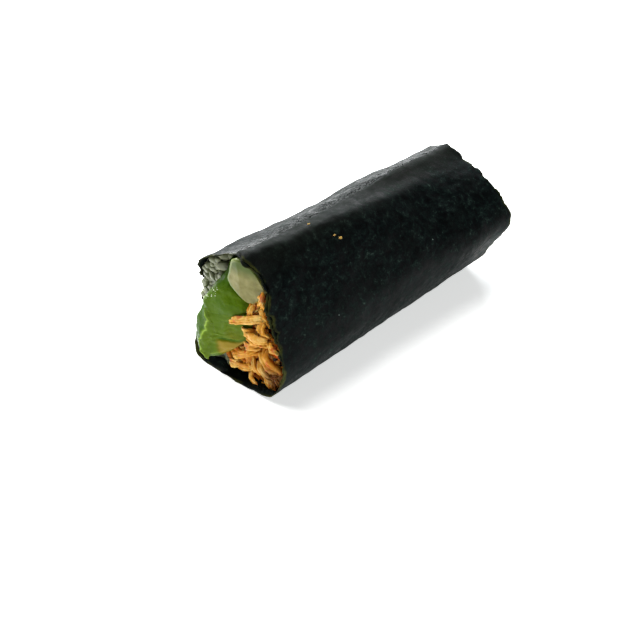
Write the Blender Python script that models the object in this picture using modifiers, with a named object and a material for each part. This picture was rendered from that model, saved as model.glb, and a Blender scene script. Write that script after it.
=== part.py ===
# A hand roll lying on its side: a sheet of nori rolled round rice, two slices of avocado, a baton of
# cucumber and shredded surimi. It runs along +X, and its end at -X is the one that shows its filling best.
# Lengths are written in millimetres and MM turns them into metres. A place in the roll is given as along,
# the distance from the near end, and as across and up in the roll's own section, seen from the near end
# with the right-hand side at minus across.

import math
import random

import bmesh
import bpy
import numpy as np
from mathutils import Euler, Vector

MM = 0.001
TAU = math.tau

# The roll as a whole
ROLL_LENGTH = 105.0  # the short side of half a sheet of nori
AXIS = Vector((0.0, 21.0))  # across and up: the centre that every section is measured from
STATIONS = (12.0, 28.0, 44.0, 60.0, 76.0, 92.0)  # sections along the middle of each filling
ORIGIN = Vector((51.1, -0.25, 0.0))  # the middle of the roll's box, on the table

# Outer sections at the two ends, across and up, from the ridge down the right side and round
NEAR_SECTION = (
    (-2.0, 46.8), (-8.4, 44.2), (-14.6, 32.0), (-18.9, 15.8), (-14.6, 4.3),
    (-7.2, 0.7), (15.8, 0.0), (21.1, 4.2), (21.2, 21.0), (13.6, 38.1),
)
FAR_SECTION = (
    (6.6, 42.8), (-1.9, 39.4), (-14.7, 33.1), (-22.6, 23.1), (-16.5, 11.0),
    (-8.6, 2.0), (10.5, 0.0), (20.0, 5.3), (20.9, 21.0), (17.8, 36.6),
)
NEAR_RIDGE = math.radians(94.5)  # where the outer free edge of the sheet lies at each end
FAR_RIDGE = math.radians(73.0)

# The sheet of nori
SHEET = 0.45  # thickness, with the rice film under it
GAP = 0.3  # clearance between neighbouring pieces and between the sheet's own layers
ROOM_SPARE = 0.1  # further clearance under the sheet's flat facets
SLIVER = 0.01  # edges shorter than this, which joining shapes leaves behind, are closed up
OVERLAP = math.radians(118)  # how far the sheet runs on below its own free edge
DIVE = math.radians(52)  # the turn in which it sinks below that edge
LIP_LIFT = 0.35  # how far the free edge stands off
LIP_TURN = math.radians(16)
TURN_STEPS = 60
LENGTH_STEPS = 13
WAVE = 0.3  # height of the sheet's low waves
EDGE_RAG = 0.55  # how far the sheet's two cut ends wander
# Waves to a turn of the roll, and where each starts
EDGE_WAVES = ((3, 0.0), (7, 1.3), (13, 2.1), (23, 0.4))
FAR_EDGE_PHASE = 2.0
# The near end's edge is torn back on the left: where it lies along the roll, at angles in degrees round it
NEAR_EDGE_ANGLES = (-48, -36, -28, -20, -10, 4, 14, 22, 30, 38, 48, 57, 67, 78)
NEAR_EDGE_PLACES = (0.0, -0.4, 1.6, 3.4, 4.7, 5.2, 5.0, 4.0, 2.2, 0.3, -0.6, -1.5, -0.8, 0.0)
# The tight bend at the bottom on the left, where the sheet's flat facets cut deepest into the room inside
CORNER = math.radians(-38)
CORNER_TURN = math.radians(22)
CORNER_ROOM = 0.35
# Dents in the sheet: angle round the roll in degrees, along, radius and depth
DENTS = (
    (112, 6, 8, 0.9), (150, 38, 14, 0.6), (176, 70, 16, 0.7), (128, 86, 16, 0.4), (20, 50, 18, 0.7),
)

# The rice: a layer against the left side of the sheet, with its thickness at angles round the roll
RICE_ANGLES = (-86, -70, -50, -25, 0, 25, 45, 62, 76, 84)
RICE_DEPTHS = (3.0, 3.4, 4.6, 3.6, 3.4, 6.6, 9.4, 9.0, 5.2, 2.6)
RICE_START = (2.6, 2.6, 2.6, 3.4, 4.6, 4.0, 1.8, 1.2, 1.4, 1.8)  # where the layer begins, along the roll
GRAIN = Vector((5.0, 2.8, 2.6))  # a cooked grain
GRAIN_SPACING = 3.0  # from grain to grain across the ends
RICE_END = ROLL_LENGTH - 1.6
RICE_SECTIONS = 8
RICE_STEPS = 19
NEAR_GRAINS = -0.2  # where the grains' centres lie from the layer's near end
FAR_GRAINS = ROLL_LENGTH - 1.3
GRAIN_REACH = 1.3  # how far a grain may stand out of the layer

# The filling's outlines, across and up in the near section
UPPER_SLICE = (
    (2.4, 41.2), (4.2, 37.6), (7.4, 33.6), (10.9, 29.4), (13.6, 25.2), (11.0, 23.8),
    (3.0, 25.3), (-4.2, 27.6), (-4.5, 30.3), (-3.2, 31.8), (1.3, 34.4), (2.6, 36.8), (1.5, 39.4),
)
LOWER_SLICE = (
    (13.9, 23.2), (15.2, 18.0), (15.8, 11.5), (14.2, 6.6), (11.0, 5.3), (8.0, 7.2),
    (2.6, 13.0), (-4.8, 20.8), (-4.6, 26.4), (3.0, 24.5), (10.6, 22.9),
)
CUCUMBER = (
    (-0.9, 44.6), (1.2, 39.6), (2.0, 37.2), (0.9, 35.0), (-2.6, 32.9), (-5.9, 31.6),
    (-9.2, 34.2), (-11.2, 38.0), (-8.6, 42.3), (-4.7, 45.0),
)
# The packed shreds fill the rest: this outline runs into their neighbours, which are then cut out of it
SURIMI = (
    (-6.0, 34.2), (-2.4, 30.0), (-2.8, 21.0), (4.2, 14.0), (10.5, 8.6), (9.0, 0.2),
    (-8.0, 0.2), (-15.0, 3.6), (-18.6, 14.0), (-16.5, 27.0), (-12.8, 36.4), (-9.4, 36.0),
)
FACE_TILT = 0.2  # the lower slice's cut face leans back by this much for each millimetre to the right
RIDGE_INSET = 5.2  # from the slice's outer side to the ridge where its cut face begins
SLICE_BULGE = 1.8  # how far that slice swells over the rice where it leaves the roll
# The lower slice's near end: behind its face, how far the left side lies in, the rounding of the right
LOWER_NEAR = (
    (-0.4, 7.5, 2.5), (0.0, RIDGE_INSET, 0.6), (0.8, 2.4, 0.1), (2.0, 0.0, 0.0), (6.0, SLICE_BULGE, 0.0),
)
# The other ends: how far behind its face each ring lies, and how far in
LOWER_FAR = ((2.0, 0.0), (0.6, 0.7), (0.0, 2.4))
UPPER_NEAR = ((-0.5, 2.6), (0.0, 1.4), (0.8, 0.4), (2.4, 0.0))
UPPER_FAR = ((0.0, 1.2), (0.7, 0.3), (2.0, 0.0))
CUCUMBER_ENDS = ((0.0, 2.0), (0.1, 0.6), (0.6, 0.0))
CUCUMBER_EXTRA = (3.5, 7.0)  # two more sections, where the sheet above it is dented
# How far the pieces stand out at the far end
LOWER_PROUD, UPPER_PROUD, CUCUMBER_PROUD = 0.6, -0.4, 0.9
SURIMI_END = ROLL_LENGTH - 2.0

# The shreds that stand out at the near end: places along, across and up, then width and thickness
KEY_SHREDS = (
    (((0.4, -10.0, 36.8), (-0.6, -12.0, 35.2), (0.0, -9.8, 31.6)), 2.1, 1.6),
    (((0.6, -6.7, 32.0), (-0.7, -6.5, 29.6), (0.4, -6.3, 26.6)), 1.7, 1.3),
    (((1.2, -1.6, 28.2), (0.2, -5.4, 27.6)), 1.8, 1.4),
    (((-2.2, 1.2, 24.2), (-1.9, -3.0, 25.6), (-0.9, -9.0, 28.2), (0.6, -12.4, 29.6)), 2.0, 1.5),
    (((0.6, -9.4, 32.6), (-0.2, -11.0, 29.4), (0.6, -12.4, 26.0)), 1.5, 1.2),
    (((-0.4, -2.6, 21.6), (-1.4, -5.0, 22.2), (0.4, -8.4, 22.8)), 2.2, 1.8),
    (((0.2, -11.0, 28.4), (-1.7, -11.6, 26.2), (0.2, -12.7, 23.2)), 2.8, 1.8),
    (((-0.6, -3.8, 20.4), (-2.1, -8.6, 21.6), (-1.8, -12.0, 22.2), (0.2, -15.6, 23.0)), 2.7, 1.9),
    (((-0.6, -13.2, 23.4), (-1.4, -15.8, 21.4), (0.6, -16.6, 19.0)), 2.0, 1.5),
    (((-0.2, -2.4, 16.2), (-1.5, -6.2, 17.6), (0.2, -10.2, 19.4)), 2.1, 1.5),
    (((-1.0, 0.2, 12.2), (-1.7, -4.8, 14.8), (0.2, -9.6, 17.8)), 1.8, 1.3),
    (((0.4, -10.8, 20.0), (-1.5, -12.2, 16.6), (-0.4, -15.2, 13.6), (1.4, -16.0, 11.4)), 3.4, 2.1),
    (((1.4, -4.8, 13.6), (-0.6, -7.0, 10.6), (1.2, -9.6, 6.8)), 1.7, 1.3),
    (((1.4, -7.6, 14.8), (-0.5, -9.8, 11.2), (1.2, -12.2, 7.4)), 1.7, 1.3),
    (((1.8, -2.2, 12.2), (0.4, -3.6, 9.4), (2.0, -5.0, 6.4)), 1.5, 1.2),
    (((1.2, 4.4, 5.8), (0.0, -1.0, 7.2), (0.8, -7.4, 9.8)), 2.0, 1.4),
    (((1.6, -3.4, 7.4), (0.2, -4.6, 4.6), (1.6, -6.2, 2.0)), 1.7, 1.2),
    (((2.6, -10.8, 11.4), (1.2, -13.6, 9.6), (3.0, -15.0, 7.4)), 2.4, 1.8),
    (((2.6, 5.8, 6.8), (1.4, 3.0, 8.2), (2.6, -0.4, 9.4)), 1.7, 1.3),
)
CORE_MARGIN = 0.4  # how far the packed shreds lie in from the outermost ones
SHRED_MARGIN = (0.03, 0.3)  # how far each shred keeps off the room's wall
SHRED_ENDS = 0.72  # a shred's width at its ends, as a share of its middle
LOOSE_SHREDS = 16  # further shreds at the near end
FAR_SHREDS = 20
NEAR_FRONT = -0.6  # where the loose shreds lie from the packed part's near end
FAR_FRONT = ROLL_LENGTH - 0.9
SHRED_BOW = 0.8  # how far a loose shred's two ends lie behind its middle


def smooth(share):
    """0 to 1 with soft ends, as share goes from 0 to 1."""
    share = min(1.0, max(0.0, share))
    return share * share * (3 - 2 * share)


def linear_colour(code):
    """A hex colour as Blender's linear red, green, blue and alpha."""
    parts = [int(code[i : i + 2], 16) / 255 for i in (1, 3, 5)]
    return [p / 12.92 if p <= 0.04045 else ((p + 0.055) / 1.055) ** 2.4 for p in parts] + [1.0]


def closed_curve(points, steps):
    """Points along a smooth closed curve (Catmull-Rom) through the given ones."""
    count = len(points)
    curve = []
    for i in range(count):
        before, start, end, after = (Vector(points[(i + k) % count]) for k in (-1, 0, 1, 2))
        for step in range(steps):
            t = step / steps
            bend = (end - before) * t + (2 * before - 5 * start + 4 * end - after) * t**2
            curve.append(start + 0.5 * (bend + (3 * start - before - 3 * end + after) * t**3))
    return curve


def polar_table(section):
    """Angles and radii about AXIS along a smooth section, in the order of the angles."""
    offsets = [point - AXIS for point in closed_curve(section, 16)]
    rows = sorted((math.atan2(p.y, p.x) % TAU, p.length) for p in offsets)
    return np.array(rows).T


NEAR_TABLE = polar_table(NEAR_SECTION)
FAR_TABLE = polar_table(FAR_SECTION)


def dent_depth(angle, along, radius):
    """How deep the sheet's dents are at a point."""
    depth = 0.0
    for dent_angle, dent_along, reach, deepest in DENTS:
        turned = (angle - math.radians(dent_angle) + math.pi) % TAU - math.pi
        away = math.hypot(turned * radius, along - dent_along) / reach
        depth += deepest * smooth(1 - away)
    return depth


def roll_radius(angle, along):
    """The roll's outer radius, with the sheet's low waves and its flat underside."""
    share = min(1.0, max(0.0, along / ROLL_LENGTH))
    along = share * ROLL_LENGTH
    near = np.interp(angle, NEAR_TABLE[0], NEAR_TABLE[1], period=TAU)
    far = np.interp(angle, FAR_TABLE[0], FAR_TABLE[1], period=TAU)
    radius = near + (far - near) * share
    off_table = smooth((math.sin(angle) + 0.7) / 0.4)
    wave = math.sin(2 * angle + along / 11) + math.sin(3 * angle - along / 8 + 1) * 0.7
    radius += off_table * (WAVE * wave - dent_depth(angle, along, radius))
    if math.sin(angle) < 0:
        radius = min(radius, -AXIS.y / math.sin(angle))
    return radius


def ridge_angle(along):
    """Where the sheet's free edge lies."""
    return NEAR_RIDGE + (FAR_RIDGE - NEAR_RIDGE) * smooth(along / ROLL_LENGTH)


def room_radius(angle, along):
    """How far out a filling may reach: the sheet's innermost layer, less the clearance."""
    past_edge = (angle - ridge_angle(along)) % TAU
    below_edge = 1 - smooth((past_edge - OVERLAP - 0.12) / 0.25)
    diving = smooth((past_edge - (TAU - DIVE)) / DIVE * 1.15)
    layers = 1 + max(below_edge, diving)
    in_corner = smooth(1 - abs((angle - CORNER + math.pi) % TAU - math.pi) / CORNER_TURN)
    taken = layers * (SHEET + GAP) + ROOM_SPARE + CORNER_ROOM * in_corner
    return roll_radius(angle, along) - taken


def section_point(angle, radius, along):
    """A point in the roll from its angle and radius in the section."""
    return Vector((along, AXIS.x + radius * math.cos(angle), AXIS.y + radius * math.sin(angle)))


def placed(point, along, margin=0.0):
    """A point of the near section carried along at the same share of the roll's radius, within the room."""
    offset = Vector(point) - AXIS
    angle = math.atan2(offset.y, offset.x)
    share = offset.length / np.interp(angle, NEAR_TABLE[0], NEAR_TABLE[1], period=TAU)
    radius = min(share * roll_radius(angle, along), room_radius(angle, along) - margin)
    return section_point(angle, radius, along)


def kept_in(point, margin):
    """A point of the filling, pulled inside the room by a margin where it lies outside it."""
    offset = Vector((point.y, point.z)) - AXIS
    angle = math.atan2(offset.y, offset.x)
    return section_point(angle, min(offset.length, room_radius(angle, point.x) - margin), point.x)


def add_object(name, bm, collection, material=None):
    """Turns a mesh in roll millimetres into an object in metres, standing on the origin."""
    for vert in bm.verts:
        vert.co = (vert.co - ORIGIN) * MM
    bmesh.ops.triangulate(bm, faces=bm.faces[:])
    bmesh.ops.recalc_face_normals(bm, faces=bm.faces[:])
    mesh = bpy.data.meshes.new(name)
    bm.to_mesh(mesh)
    bm.free()
    part = bpy.data.objects.new(name, mesh)
    collection.objects.link(part)
    if material:
        mesh.materials.append(material)
    return part


def loft(rings):
    """A closed body through rings of equally many points, with a flat end on the first and the last."""
    bm = bmesh.new()
    loops = [[bm.verts.new(point) for point in ring] for ring in rings]
    for ring, following in zip(loops, loops[1:]):
        for i, vert in enumerate(ring):
            j = (i + 1) % len(ring)
            bm.faces.new((vert, ring[j], following[j], following[i]))
    bm.faces.new(loops[0])
    bm.faces.new(loops[-1])
    return bm


def evaluated(part):
    """The object's mesh with its modifiers applied."""
    bpy.context.view_layer.update()
    depsgraph = bpy.context.evaluated_depsgraph_get()
    return bpy.data.meshes.new_from_object(part.evaluated_get(depsgraph))


def apply_boolean(part, operation, pieces, solver):
    """Joins a collection of pieces to the part, or cuts them from it, and removes them."""
    modifier = part.modifiers.new(operation, "BOOLEAN")
    modifier.operation = operation
    modifier.operand_type = "COLLECTION"
    modifier.collection = pieces
    modifier.solver = solver
    part.data = evaluated(part)
    part.modifiers.clear()
    for piece in list(pieces.objects):
        bpy.data.objects.remove(piece)
    bpy.data.collections.remove(pieces)


def working_collection(name):
    """A collection for pieces that a Boolean uses up."""
    collection = bpy.data.collections.new(name)
    bpy.context.scene.collection.children.link(collection)
    return collection


def keep_whole_body(part):
    """Leaves only the largest connected surface: scraps go, and hollows that fusing sealed are filled."""
    bm = bmesh.new()
    bm.from_mesh(part.data)
    bmesh.ops.triangulate(bm, faces=bm.faces[:])
    bmesh.ops.dissolve_degenerate(bm, dist=SLIVER * MM, edges=bm.edges[:])
    waiting = set(bm.faces)
    surfaces = []
    while waiting:
        front = [waiting.pop()]
        surface = list(front)
        while front:
            sound_edges = [edge for edge in front.pop().edges if len(edge.link_faces) == 2]
            linked = {face for edge in sound_edges for face in edge.link_faces} & waiting
            waiting -= linked
            surface.extend(linked)
            front.extend(linked)
        surfaces.append(surface)
    whole = set(max(surfaces, key=len))
    bmesh.ops.delete(bm, geom=[face for face in bm.faces if face not in whole], context="FACES")
    bm.to_mesh(part.data)
    bm.free()


def cut_clear(part, neighbours):
    """Cuts neighbours, given as rings that are grown by the clearance, out of a part."""
    cutters = working_collection("cutters")
    for rings in neighbours:
        add_object("cutter", loft(rings), cutters)
    apply_boolean(part, "DIFFERENCE", cutters, "MANIFOLD")
    keep_whole_body(part)


def make_material(name, colour, roughness):
    """A plain finish in the food's own colour."""
    material = bpy.data.materials.new(name)
    material.use_nodes = True
    shader = material.node_tree.nodes["Principled BSDF"]
    shader.inputs["Base Color"].default_value = linear_colour(colour)
    shader.inputs["Roughness"].default_value = roughness
    shader.inputs["Metallic"].default_value = 0.0
    return material


def edge_wander(turn, phase):
    """How far a cut end of the sheet strays from straight, round the roll."""
    return EDGE_RAG * sum(math.sin(count * turn + start + phase) for count, start in EDGE_WAVES) / 2


def near_edge(angle):
    """Where the sheet's near end lies at an angle round the roll."""
    return float(np.interp(math.degrees(angle), NEAR_EDGE_ANGLES, NEAR_EDGE_PLACES, period=360))


def sheet_point(turn, share):
    """A point on the sheet's outer face, a turn on from its free edge and a share of the way along."""
    start = edge_wander(turn, 0.0) + near_edge(NEAR_RIDGE + turn)
    end = ROLL_LENGTH + edge_wander(turn, FAR_EDGE_PHASE)
    along = start + (end - start) * share
    angle = ridge_angle(along) + turn
    sunk = smooth((turn - (TAU - DIVE)) / DIVE) * (SHEET + GAP)
    lifted = LIP_LIFT * (1 - smooth(turn / LIP_TURN))
    return section_point(angle, roll_radius(angle, along) - sunk + lifted, along)


def build_nori(collection, material):
    """One sheet of nori, rolled so that its free edge lies along the ridge."""
    bm = bmesh.new()
    bmesh.ops.create_grid(bm, x_segments=TURN_STEPS, y_segments=LENGTH_STEPS, size=1)
    for vert in bm.verts:
        vert.co = sheet_point((vert.co.x + 1) / 2 * (TAU + OVERLAP), (vert.co.y + 1) / 2)
    bmesh.ops.triangulate(bm, faces=bm.faces[:], quad_method="FIXED")
    nori = add_object("nori", bm, collection, material)
    face = nori.data.polygons[0]
    faces_out = face.normal.dot(face.center - Vector((0, 0, AXIS.y * MM))) > 0
    thickness = nori.modifiers.new("thickness", "SOLIDIFY")
    thickness.thickness = SHEET * MM
    thickness.offset = -1 if faces_out else 1
    nori.data.shade_smooth()
    return nori


def rice_depth(angle):
    """How thick the layer of rice is at an angle round the roll."""
    return float(np.interp(math.degrees(angle), RICE_ANGLES, RICE_DEPTHS))


def rice_start(angle):
    """Where the layer of rice begins at an angle round the roll."""
    return float(np.interp(math.degrees(angle), RICE_ANGLES, RICE_START))


def rice_point(angle, depth_share, along, grow=0.0):
    """A point in the layer of rice, from its outer face at 0 to its inner face at 1."""
    thinner = roll_radius(angle, along) / roll_radius(angle, 0.0)
    inwards = depth_share * (rice_depth(angle) * thinner + grow)
    return section_point(angle, room_radius(angle, along) - inwards, along)


def grain_mesh(centre, turn, size):
    """One grain of rice, flattened where it meets the sheet or the filling."""
    bm = bmesh.new()
    bmesh.ops.create_uvsphere(bm, u_segments=6, v_segments=3, radius=0.5)
    bmesh.ops.scale(bm, vec=size, verts=bm.verts[:])
    bmesh.ops.rotate(bm, cent=(0, 0, 0), matrix=turn.to_matrix(), verts=bm.verts[:])
    first, last = math.radians(RICE_ANGLES[0]), math.radians(RICE_ANGLES[-1])
    for vert in bm.verts:
        point = vert.co + centre
        offset = Vector((point.y, point.z)) - AXIS
        angle = min(last, max(first, math.atan2(offset.y, offset.x)))
        outer = room_radius(angle, point.x)
        inner = (rice_point(angle, 1.0, point.x).yz - AXIS).length
        along = max(point.x, rice_start(angle) - GRAIN_REACH)
        vert.co = section_point(angle, min(outer - 0.05, max(inner + 0.05, offset.length)), along)
    return bm


def rice_rings(grow=0.0, longer=0.0):
    """Rings of the layer of rice, a band against the sheet."""
    first = math.radians(RICE_ANGLES[0]) - grow / AXIS.y
    last = math.radians(RICE_ANGLES[-1]) + grow / AXIS.y
    rings = []
    for share in np.linspace(0, 1, RICE_SECTIONS):
        outer = []
        inner = []
        for angle in np.linspace(first, last, RICE_STEPS):
            start = rice_start(angle) - longer
            along = start + (RICE_END + longer - start) * share
            outer.append(rice_point(angle, 0.0, along))
            inner.append(rice_point(angle, 1.0, along, grow))
        rings.append(outer + inner[::-1])
    return rings


def build_rice(collection, material):
    """A layer of rice against the left side, with grains standing out at both ends."""
    rice = add_object("rice", loft(rice_rings()), collection, material)

    rng = random.Random(5)
    grains = working_collection("rice grains")
    for at_far_end in (False, True):
        angle = math.radians(RICE_ANGLES[0]) + 0.06
        while angle < math.radians(RICE_ANGLES[-1]) - 0.03:
            depth = rice_depth(angle)
            rows = max(1, round(depth / GRAIN_SPACING))
            for row in range(rows):
                along = FAR_GRAINS if at_far_end else rice_start(angle) + NEAR_GRAINS
                along += rng.uniform(-0.35, 0.35)
                centre = rice_point(angle + rng.uniform(-0.02, 0.02), (row + 0.5) / rows, along)
                turn = Euler((rng.uniform(0, TAU), rng.uniform(-0.5, 0.5), rng.uniform(-1.4, 1.4)))
                size = GRAIN * rng.uniform(0.88, 1.08)
                add_object("grain", grain_mesh(centre, turn, size), grains)
            angle += GRAIN_SPACING * 1.15 / (roll_radius(angle, 0.0) - depth / 2)
    apply_boolean(rice, "UNION", grains, "EXACT")
    cut_clear(rice, (upper_rings(GAP), lower_rings(GAP), cucumber_rings(GAP)))
    return rice


def slice_rings(outline, stations, near_end, far_end, near_face, proud, grow):
    """Rings of a filling that runs through the roll. An end lists how far behind its face and in they lie."""
    curve = closed_curve(outline, 2)
    middle = sum(curve, Vector((0, 0))) / len(curve)

    def inset_point(point, inset):
        inwards = middle - point
        return point + inwards * min(0.9, (inset - grow) / inwards.length)

    rings = []
    for behind, inset in near_end:
        rings.append([placed(inset_point(p, inset), near_face(p) + behind - grow) for p in curve])
    for along in stations:
        rings.append([placed(inset_point(p, 0.0), along) for p in curve])
    for behind, inset in reversed(far_end):
        end = ROLL_LENGTH + proud - behind + grow
        rings.append([placed(inset_point(p, inset), end) for p in curve])
    return rings


def lower_face(point):
    """Where the lower slice's cut face lies: it leans back towards the right."""
    return -3.0 + (12.0 - min(14.0, point.x)) * FACE_TILT


def upper_face(point):
    """Where the upper slice ends: swelling out low on the left, deep in the crack by the cucumber."""
    return 3.4 - 5.2 * smooth((41.0 - point.y) / 15.0) + 1.6 * smooth((4.0 - point.x) / 8.0)


def lower_rings(grow=0.0):
    """The lower slice, whose rounded outer side swells over the rice and ends in a ridge at the cut face."""
    curve = closed_curve(LOWER_SLICE, 2)
    middle = sum(curve, Vector((0, 0))) / len(curve)

    def shaped(point, left_inset, rounding):
        on_left = smooth((point.x - 3.0) / 8.0)
        inwards = (middle - point).normalized() * (rounding * (1 - on_left) - grow)
        return point + inwards - Vector((left_inset * on_left, 0))

    rings = []
    for behind, left_inset, rounding in LOWER_NEAR:
        shift = left_inset - SLICE_BULGE
        rings.append([placed(shaped(p, shift, rounding), lower_face(p) + behind - grow) for p in curve])
    for along in STATIONS:
        rings.append([placed(shaped(p, 0.0, 0.0), along) for p in curve])
    for behind, rounding in LOWER_FAR:
        far = ROLL_LENGTH + LOWER_PROUD - behind + grow
        rings.append([placed(p + (middle - p).normalized() * (rounding - grow), far) for p in curve])
    return rings


def upper_rings(grow=0.0):
    """The upper slice, whose end is round and wet."""
    return slice_rings(UPPER_SLICE, STATIONS, UPPER_NEAR, UPPER_FAR, upper_face, UPPER_PROUD, grow)


def cucumber_face(point):
    """Where the cucumber ends: a little proud of the sheet, most at the top."""
    return -1.5 + (44.0 - point.y) * 0.06


def cucumber_rings(grow=0.0):
    """The baton of cucumber, cut square."""
    stations = (*CUCUMBER_EXTRA, *STATIONS)
    ends = (CUCUMBER_ENDS, CUCUMBER_ENDS)
    return slice_rings(CUCUMBER, stations, *ends, cucumber_face, CUCUMBER_PROUD, grow)


def shred_mesh(points, width, thickness, margin):
    """A bent shred: a strip that narrows a little to its ends, kept a margin off the sheet."""
    path = [Vector(p) for p in points]
    if len(path) == 2:
        path.insert(1, (path[0] + path[1]) / 2)
    last = len(path) - 1
    rings = []
    for i, centre in enumerate(path):
        along = path[min(i + 1, last)] - path[max(i - 1, 0)]
        side = along.cross(Vector((1, 0, 0))).normalized()
        normal = side.cross(along).normalized()
        narrow = SHRED_ENDS + (1 - SHRED_ENDS) * math.sin(math.pi * i / last)
        half_width = side * width * narrow / 2
        half_depth = normal * thickness * narrow / 2
        rings.append([
            kept_in(centre + half_width * across + half_depth * out, margin)
            for across, out in ((1, 1), (1, -1), (-1, -1), (-1, 1))
        ])
    return loft(rings)


def surimi_start(point):
    """Where the packed shreds begin: deep at the bottom, near the edge of the sheet above."""
    return 1.4 + 3.4 * smooth((9.0 - point.y) / 8.0)


def core_rings():
    """The packed part of the shreds, in the room that the other fillings leave."""
    curve = closed_curve(SURIMI, 2)
    rings = [[placed(p, surimi_start(p), CORE_MARGIN) for p in curve]]
    for along in (*STATIONS, SURIMI_END):
        rings.append([placed(p, along, CORE_MARGIN) for p in curve])
    return rings


def inside(point, outline):
    """Whether a point of the section lies in an outline, by counting crossings."""
    crossings = 0
    for a, b in zip(outline, outline[1:] + outline[:1]):
        if (a[1] > point[1]) != (b[1] > point[1]):
            reach = a[0] + (point[1] - a[1]) / (b[1] - a[1]) * (b[0] - a[0])
            crossings += point[0] < reach
    return crossings % 2 == 1


def random_shred(rng, at_far_end):
    """A shred at a random place and slant in the packed part's end."""
    while True:
        point = Vector((rng.uniform(-17, 7), rng.uniform(2, 35)))
        if inside(point, SURIMI):
            break
    slant = rng.gauss(0.35, 0.9)
    reach = Vector((math.cos(slant), -math.sin(slant))) * rng.uniform(2.0, 4.2)
    front = FAR_FRONT if at_far_end else surimi_start(point) + NEAR_FRONT
    front += rng.uniform(-0.5, 0.5)
    back = front - SHRED_BOW if at_far_end else front + SHRED_BOW
    path = (placed(point - reach, back), placed(point, front), placed(point + reach, back))
    return path, rng.uniform(1.3, 2.2), rng.uniform(1.0, 1.5)


def build_surimi(collection, material):
    """Shredded surimi: one packed body with its shreds fused on, cut clear of what it presses against."""
    surimi = add_object("surimi", loft(core_rings()), collection, material)
    rng = random.Random(11)
    shreds = working_collection("shreds")
    placements = list(KEY_SHREDS)
    placements += [random_shred(rng, False) for _ in range(LOOSE_SHREDS)]
    placements += [random_shred(rng, True) for _ in range(FAR_SHREDS)]
    for points, width, thickness in placements:
        add_object("shred", shred_mesh(points, width, thickness, rng.uniform(*SHRED_MARGIN)), shreds)
    apply_boolean(surimi, "UNION", shreds, "MANIFOLD")
    neighbours = (upper_rings(GAP), lower_rings(GAP), cucumber_rings(GAP), rice_rings(GAP, GRAIN.x / 2))
    cut_clear(surimi, neighbours)
    return surimi


def main():
    for existing in list(bpy.data.objects):
        bpy.data.objects.remove(existing)
    roll = bpy.data.collections.new("hand roll")
    bpy.context.scene.collection.children.link(roll)

    build_nori(roll, make_material("nori", "#0d1616", 0.45))
    build_rice(roll, make_material("rice", "#d6dacb", 0.5))
    avocado = make_material("avocado", "#71873b", 0.35)
    add_object("avocado_upper", loft(upper_rings()), roll, avocado)
    add_object("avocado_lower", loft(lower_rings()), roll, avocado)
    add_object("cucumber", loft(cucumber_rings()), roll, make_material("cucumber", "#b8ba84", 0.35))
    build_surimi(roll, make_material("surimi", "#d79a55", 0.45))


main()
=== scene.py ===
# The looks of a hand roll lying on its side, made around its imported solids.
# Lengths here are in millimetres until a mesh is written. A place in the roll is along (from the near end),
# across and up (in the roll's own section, seen from the near end).
import itertools
import math
import random

import bpy
import numpy as np
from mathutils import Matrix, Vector, noise


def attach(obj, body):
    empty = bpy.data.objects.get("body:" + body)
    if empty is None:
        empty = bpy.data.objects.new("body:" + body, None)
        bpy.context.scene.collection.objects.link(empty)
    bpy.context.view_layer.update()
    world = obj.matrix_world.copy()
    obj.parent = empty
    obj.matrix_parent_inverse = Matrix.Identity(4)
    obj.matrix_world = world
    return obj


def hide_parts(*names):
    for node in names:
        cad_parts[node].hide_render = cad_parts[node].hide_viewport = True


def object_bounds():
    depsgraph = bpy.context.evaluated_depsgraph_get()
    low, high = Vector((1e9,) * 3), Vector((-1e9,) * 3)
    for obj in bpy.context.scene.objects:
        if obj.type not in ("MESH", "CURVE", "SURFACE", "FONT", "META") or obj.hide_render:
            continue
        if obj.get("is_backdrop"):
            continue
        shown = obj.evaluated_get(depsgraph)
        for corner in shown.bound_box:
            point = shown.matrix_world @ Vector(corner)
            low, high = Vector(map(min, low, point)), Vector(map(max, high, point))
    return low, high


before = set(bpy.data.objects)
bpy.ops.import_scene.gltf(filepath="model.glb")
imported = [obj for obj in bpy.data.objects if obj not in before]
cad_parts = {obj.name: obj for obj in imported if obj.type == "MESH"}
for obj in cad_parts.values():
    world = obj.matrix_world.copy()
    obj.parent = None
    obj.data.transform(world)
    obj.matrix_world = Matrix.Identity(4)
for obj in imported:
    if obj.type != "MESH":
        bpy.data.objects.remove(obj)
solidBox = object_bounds()
tau = math.tau

# The shape of the roll, as its solids have it
roll = {
    "length": 105.0,
    "axis": (0.0, 21.0),  # the centre that sections are measured from
    "origin": (51.1, -0.25, 0.0),  # the middle of the roll, on the table
    "nearSection": (
        (-2.0, 46.8), (-8.4, 44.2), (-14.6, 32.0), (-18.9, 15.8), (-14.6, 4.3),
        (-7.2, 0.7), (15.8, 0.0), (21.1, 4.2), (21.2, 21.0), (13.6, 38.1),
    ),
    "farSection": (
        (6.6, 42.8), (-1.9, 39.4), (-14.7, 33.1), (-22.6, 23.1), (-16.5, 11.0),
        (-8.6, 2.0), (10.5, 0.0), (20.0, 5.3), (20.9, 21.0), (17.8, 36.6),
    ),
    "ridge": (94.5, 73.0),  # degrees: where the free edge of the sheet lies at the near and far end
    "sectionSteps": 16,
    # Slow waves: how many go round, mm along for each radian, where they start, and their share
    "waves": ((2, 11.0, 0.0, 1.0), (3, -8.0, 1.0, 0.7)),
    "waveHeight": 0.3,
    "offTable": (-0.7, 0.4),  # the sine of the angle where waves and dents begin, and its reach
    "dents": (  # angle in degrees, along, radius, depth
        (112, 6, 8, 0.9), (150, 38, 14, 0.6), (176, 70, 16, 0.7), (128, 86, 16, 0.4), (20, 50, 18, 0.7),
    ),
    "stations": (12.0, 28.0, 44.0, 60.0, 76.0, 92.0),
}


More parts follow.
